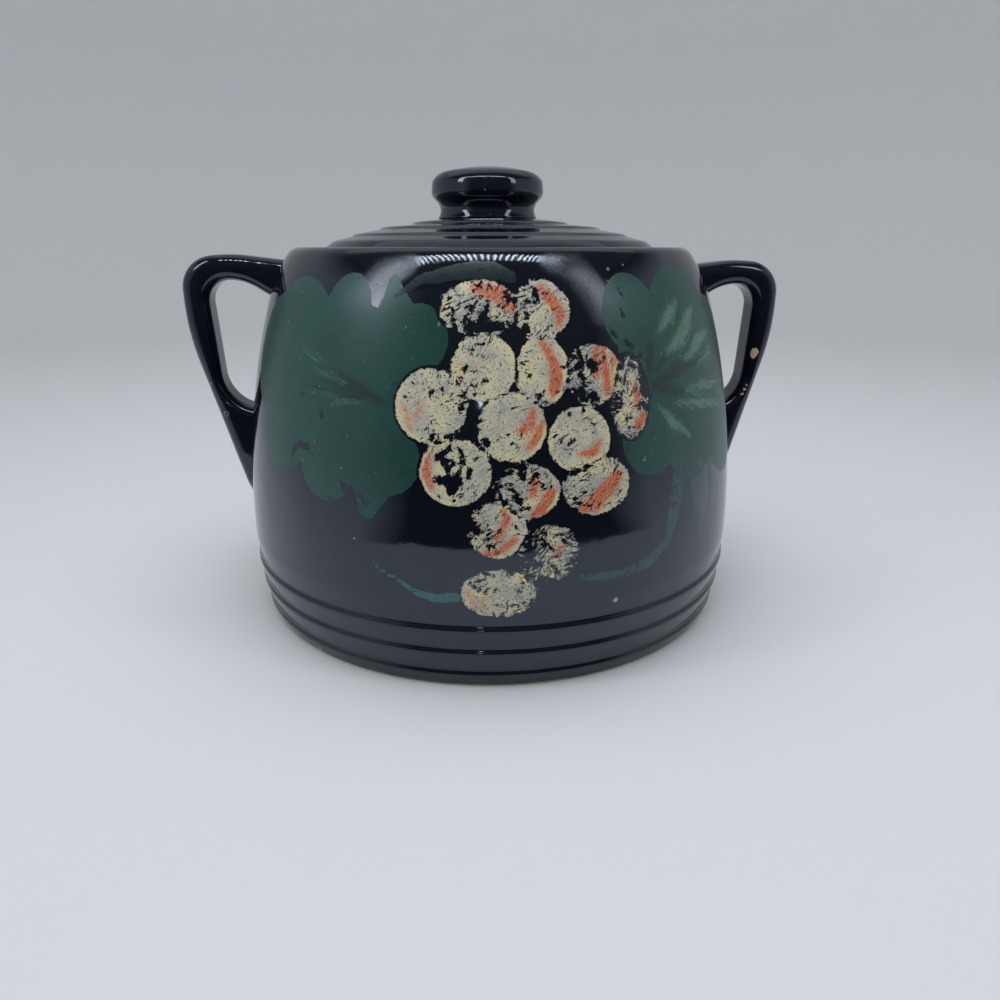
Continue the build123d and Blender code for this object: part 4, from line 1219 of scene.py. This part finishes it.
class BEANPOT_OT_stage(bpy.types.Operator):
    """Set up the pale studio, its lights and the camera"""

    bl_idname = "beanpot.stage"
    bl_label = "Studio"

    def execute(self, context):
        self.make_sweep()
        self.make_flag()
        self.make_lights(context)
        self.make_camera(context)
        return {"FINISHED"}

    def make_sweep(self):
        """A round floor that curves up into a wall: a quarter circle between two straight lines, turned."""
        centre = (STUDIO_RADIUS - STUDIO_CURVE, STUDIO_CURVE)
        curve = circle(centre, STUDIO_CURVE, -math.pi / 2, 0.0, 24)
        line = np.concatenate([[(0.02, 0.0), (0.5, 0.0)], curve, [(STUDIO_RADIUS, STUDIO_HEIGHT)]])
        points = turned(line, azimuth_columns(96))[:, ::-1]
        sweep = grid_mesh("studio_sweep", points, first_pole=(0.0, 0.0, 0.0))
        sweep.data.materials.append(plain_stage("Pale studio paper", PALE, 0.9))

    def make_flag(self):
        """A dark canopy round the pot that only reflections see, so the gloss is dark where a room is dark.

        It is a turned line from the floor outwards and up over the pot. How solid it is at a point depends
        on the bearing, and higher up on the height alone.
        """
        corners = [(0.235, 0.003), (0.40, 0.003), (0.42, 0.30), (0.36, 0.55), (0.20, 0.68), (0.012, 0.72)]
        line = even(np.array(corners), 0.02)
        azimuths = azimuth_columns(144)
        flag = grid_mesh("studio_flag", turned(line, azimuths), last_pole=(0.0, 0.0, 0.72))
        points = positions(flag)
        bearing = np.degrees(np.arctan2(points[:, 0], -points[:, 1]))
        rise = np.degrees(np.arctan2(points[:, 2], np.hypot(points[:, 0], points[:, 1])))
        off_front, off_flag = np.abs(bearing), np.abs(bearing - FLAG_MIDDLE)
        depth = 0.95 - 0.17 * fade(rise, 8.0, 32.0)
        front = depth * fade(off_flag, FLAG_HALF_ANGLE + 9.0, FLAG_HALF_ANGLE - 9.0)
        above = (0.30 + 0.60 * fade(off_front, 124.0, 102.0)) * fade(rise, 39.0, 48.0)
        behind = 0.12 * fade(off_front, 115.0, 135.0) * fade(rise, 12.0, 22.0)
        give_attribute(flag, "solid", np.maximum(np.maximum(front, above), behind))
        material, nodes, shader = new_material("Dark canopy")
        nodes.feed(shader, {"Base Color": BLACK, "Specular IOR Level": 0.0, "Roughness": 1.0,
                            "Alpha": nodes.attribute("solid")})
        self.show_in_reflections(flag, material)

    def show_in_reflections(self, piece, material):
        """Gives a stage piece its material, and hides it from all but reflections."""
        piece.data.materials.append(material)
        piece.visible_camera = piece.visible_diffuse = piece.visible_shadow = False

    def make_lights(self, context):
        """An even pale sky, a soft key that only matt surfaces see, two side lamps and a row of bars."""
        world = context.scene.world or bpy.data.worlds.new("Studio")
        context.scene.world = world
        world.use_nodes = True
        sky = {"Color": (0.955, 0.98, 0.998, 1.0), "Strength": 0.72}
        Nodes(world.node_tree).feed(world.node_tree.nodes["Background"], sky)
        for name, place, size, power in STUDIO_LAMPS:
            data = bpy.data.lights.new(name, "AREA")
            data.shape = "RECTANGLE"
            data.size, data.size_y = size
            data.energy = power
            data.color = (0.96, 0.99, 1.08) if name == "key" else (1.0, 1.0, 1.0)
            lamp = link_new(name, data)
            lamp.location = place
            lamp.visible_camera = False
            if name == "key":
                lamp.visible_glossy = False
            else:
                lamp.rotation_euler = (math.pi / 2, 0.0, math.atan2(place[0], -place[1]))
        self.make_bulbs()

    def make_bulbs(self):
        """A row of short glowing bars square to the camera, and one round flash beside it."""
        polar = np.linspace(0, math.pi, 13)
        ball_line = np.stack([np.sin(polar), -np.cos(polar)], axis=1)
        ball = turned(ball_line[1:-1], azimuth_columns(16))
        along = np.array([math.cos(CAMERA_TURN), math.sin(CAMERA_TURN), 0.0])
        forward = np.array([-math.sin(CAMERA_TURN), math.cos(CAMERA_TURN), 0.0])
        bars = [(np.array(BAR_ROW["middle"]) + share * BAR_ROW["half_span"] * along, BAR_ROW["size"])
                for share in np.linspace(-1.0, 1.0, BAR_ROW["count"])]
        flash = [(np.array(FLASH[0]), FLASH[1])]
        for kind, glow, places in (("bar", BAR_ROW["glow"], bars), ("flash", FLASH[2], flash)):
            material, nodes, shader = new_material(f"Glow of {kind}")
            nodes.feed(shader, {"Base Color": BLACK, "Emission Color": (0.95, 0.98, 1.0, 1.0),
                                "Emission Strength": glow})
            for number, (centre, size) in enumerate(places):
                def stretch(points):
                    axes = np.stack([size[0] * along, size[1] * forward, (0.0, 0.0, size[2])])
                    return centre + points @ axes

                low, high = stretch(np.array([(0.0, 0.0, -1.0), (0.0, 0.0, 1.0)]))
                lamp = grid_mesh(f"{kind}_{number:02d}", stretch(ball), first_pole=low, last_pole=high)
                self.show_in_reflections(lamp, material)

    def make_camera(self, context):
        """A camera level with the lip, looking down at the belly."""
        data = bpy.data.cameras.new("Camera")
        data.lens = CAMERA_LENS
        data.sensor_width = 36.0
        data.clip_start = 0.01
        camera = link_new("Camera", data)
        camera.location = CAMERA_PLACE
        camera.rotation_euler = (CAMERA_TILT, 0.0, CAMERA_TURN)
        context.scene.camera = camera


class BEANPOT_PT_panel(bpy.types.Panel):
    """The pot's pieces and sizes, listed in the sidebar"""

    bl_idname = "BEANPOT_PT_panel"
    bl_label = "Bean Pot"
    bl_space_type = "VIEW_3D"
    bl_region_type = "UI"
    bl_category = "Bean Pot"

    def draw(self, context):
        for operator in OPERATORS:
            self.layout.operator(operator.bl_idname)
        for name in GROUPS:
            group = getattr(context.scene, name)
            box = self.layout.box()
            box.label(text=name.replace("_", " ").title())
            for key in group.__annotations__:
                box.prop(group, key)


OPERATORS = (BEANPOT_OT_stage, BEANPOT_OT_body, BEANPOT_OT_handles, BEANPOT_OT_lid, BEANPOT_OT_knob)
GROUPS = {
    "beanpot_body": BEANPOT_PG_body,
    "beanpot_handle": BEANPOT_PG_handle,
    "beanpot_lid": BEANPOT_PG_lid,
    "beanpot_colours": BEANPOT_PG_colours,
}


def register():
    """Registers the classes and hangs the property groups on the scene."""
    for cls in (*GROUPS.values(), *OPERATORS, BEANPOT_PT_panel):
        bpy.utils.register_class(cls)
    for name, cls in GROUPS.items():
        setattr(bpy.types.Scene, name, bpy.props.PointerProperty(type=cls))


def unregister():
    """Takes everything off again, in the opposite order."""
    for name in reversed(list(GROUPS)):
        delattr(bpy.types.Scene, name)
    for cls in reversed((*GROUPS.values(), *OPERATORS, BEANPOT_PT_panel)):
        bpy.utils.unregister_class(cls)


def main():
    register()
    bpy.context.scene.view_settings.view_transform = "Standard"
    bpy.ops.beanpot.stage()
    bpy.ops.beanpot.body()
    bpy.ops.beanpot.handles()
    bpy.ops.beanpot.lid()
    bpy.ops.beanpot.knob()


if __name__ == "__main__":
    main()
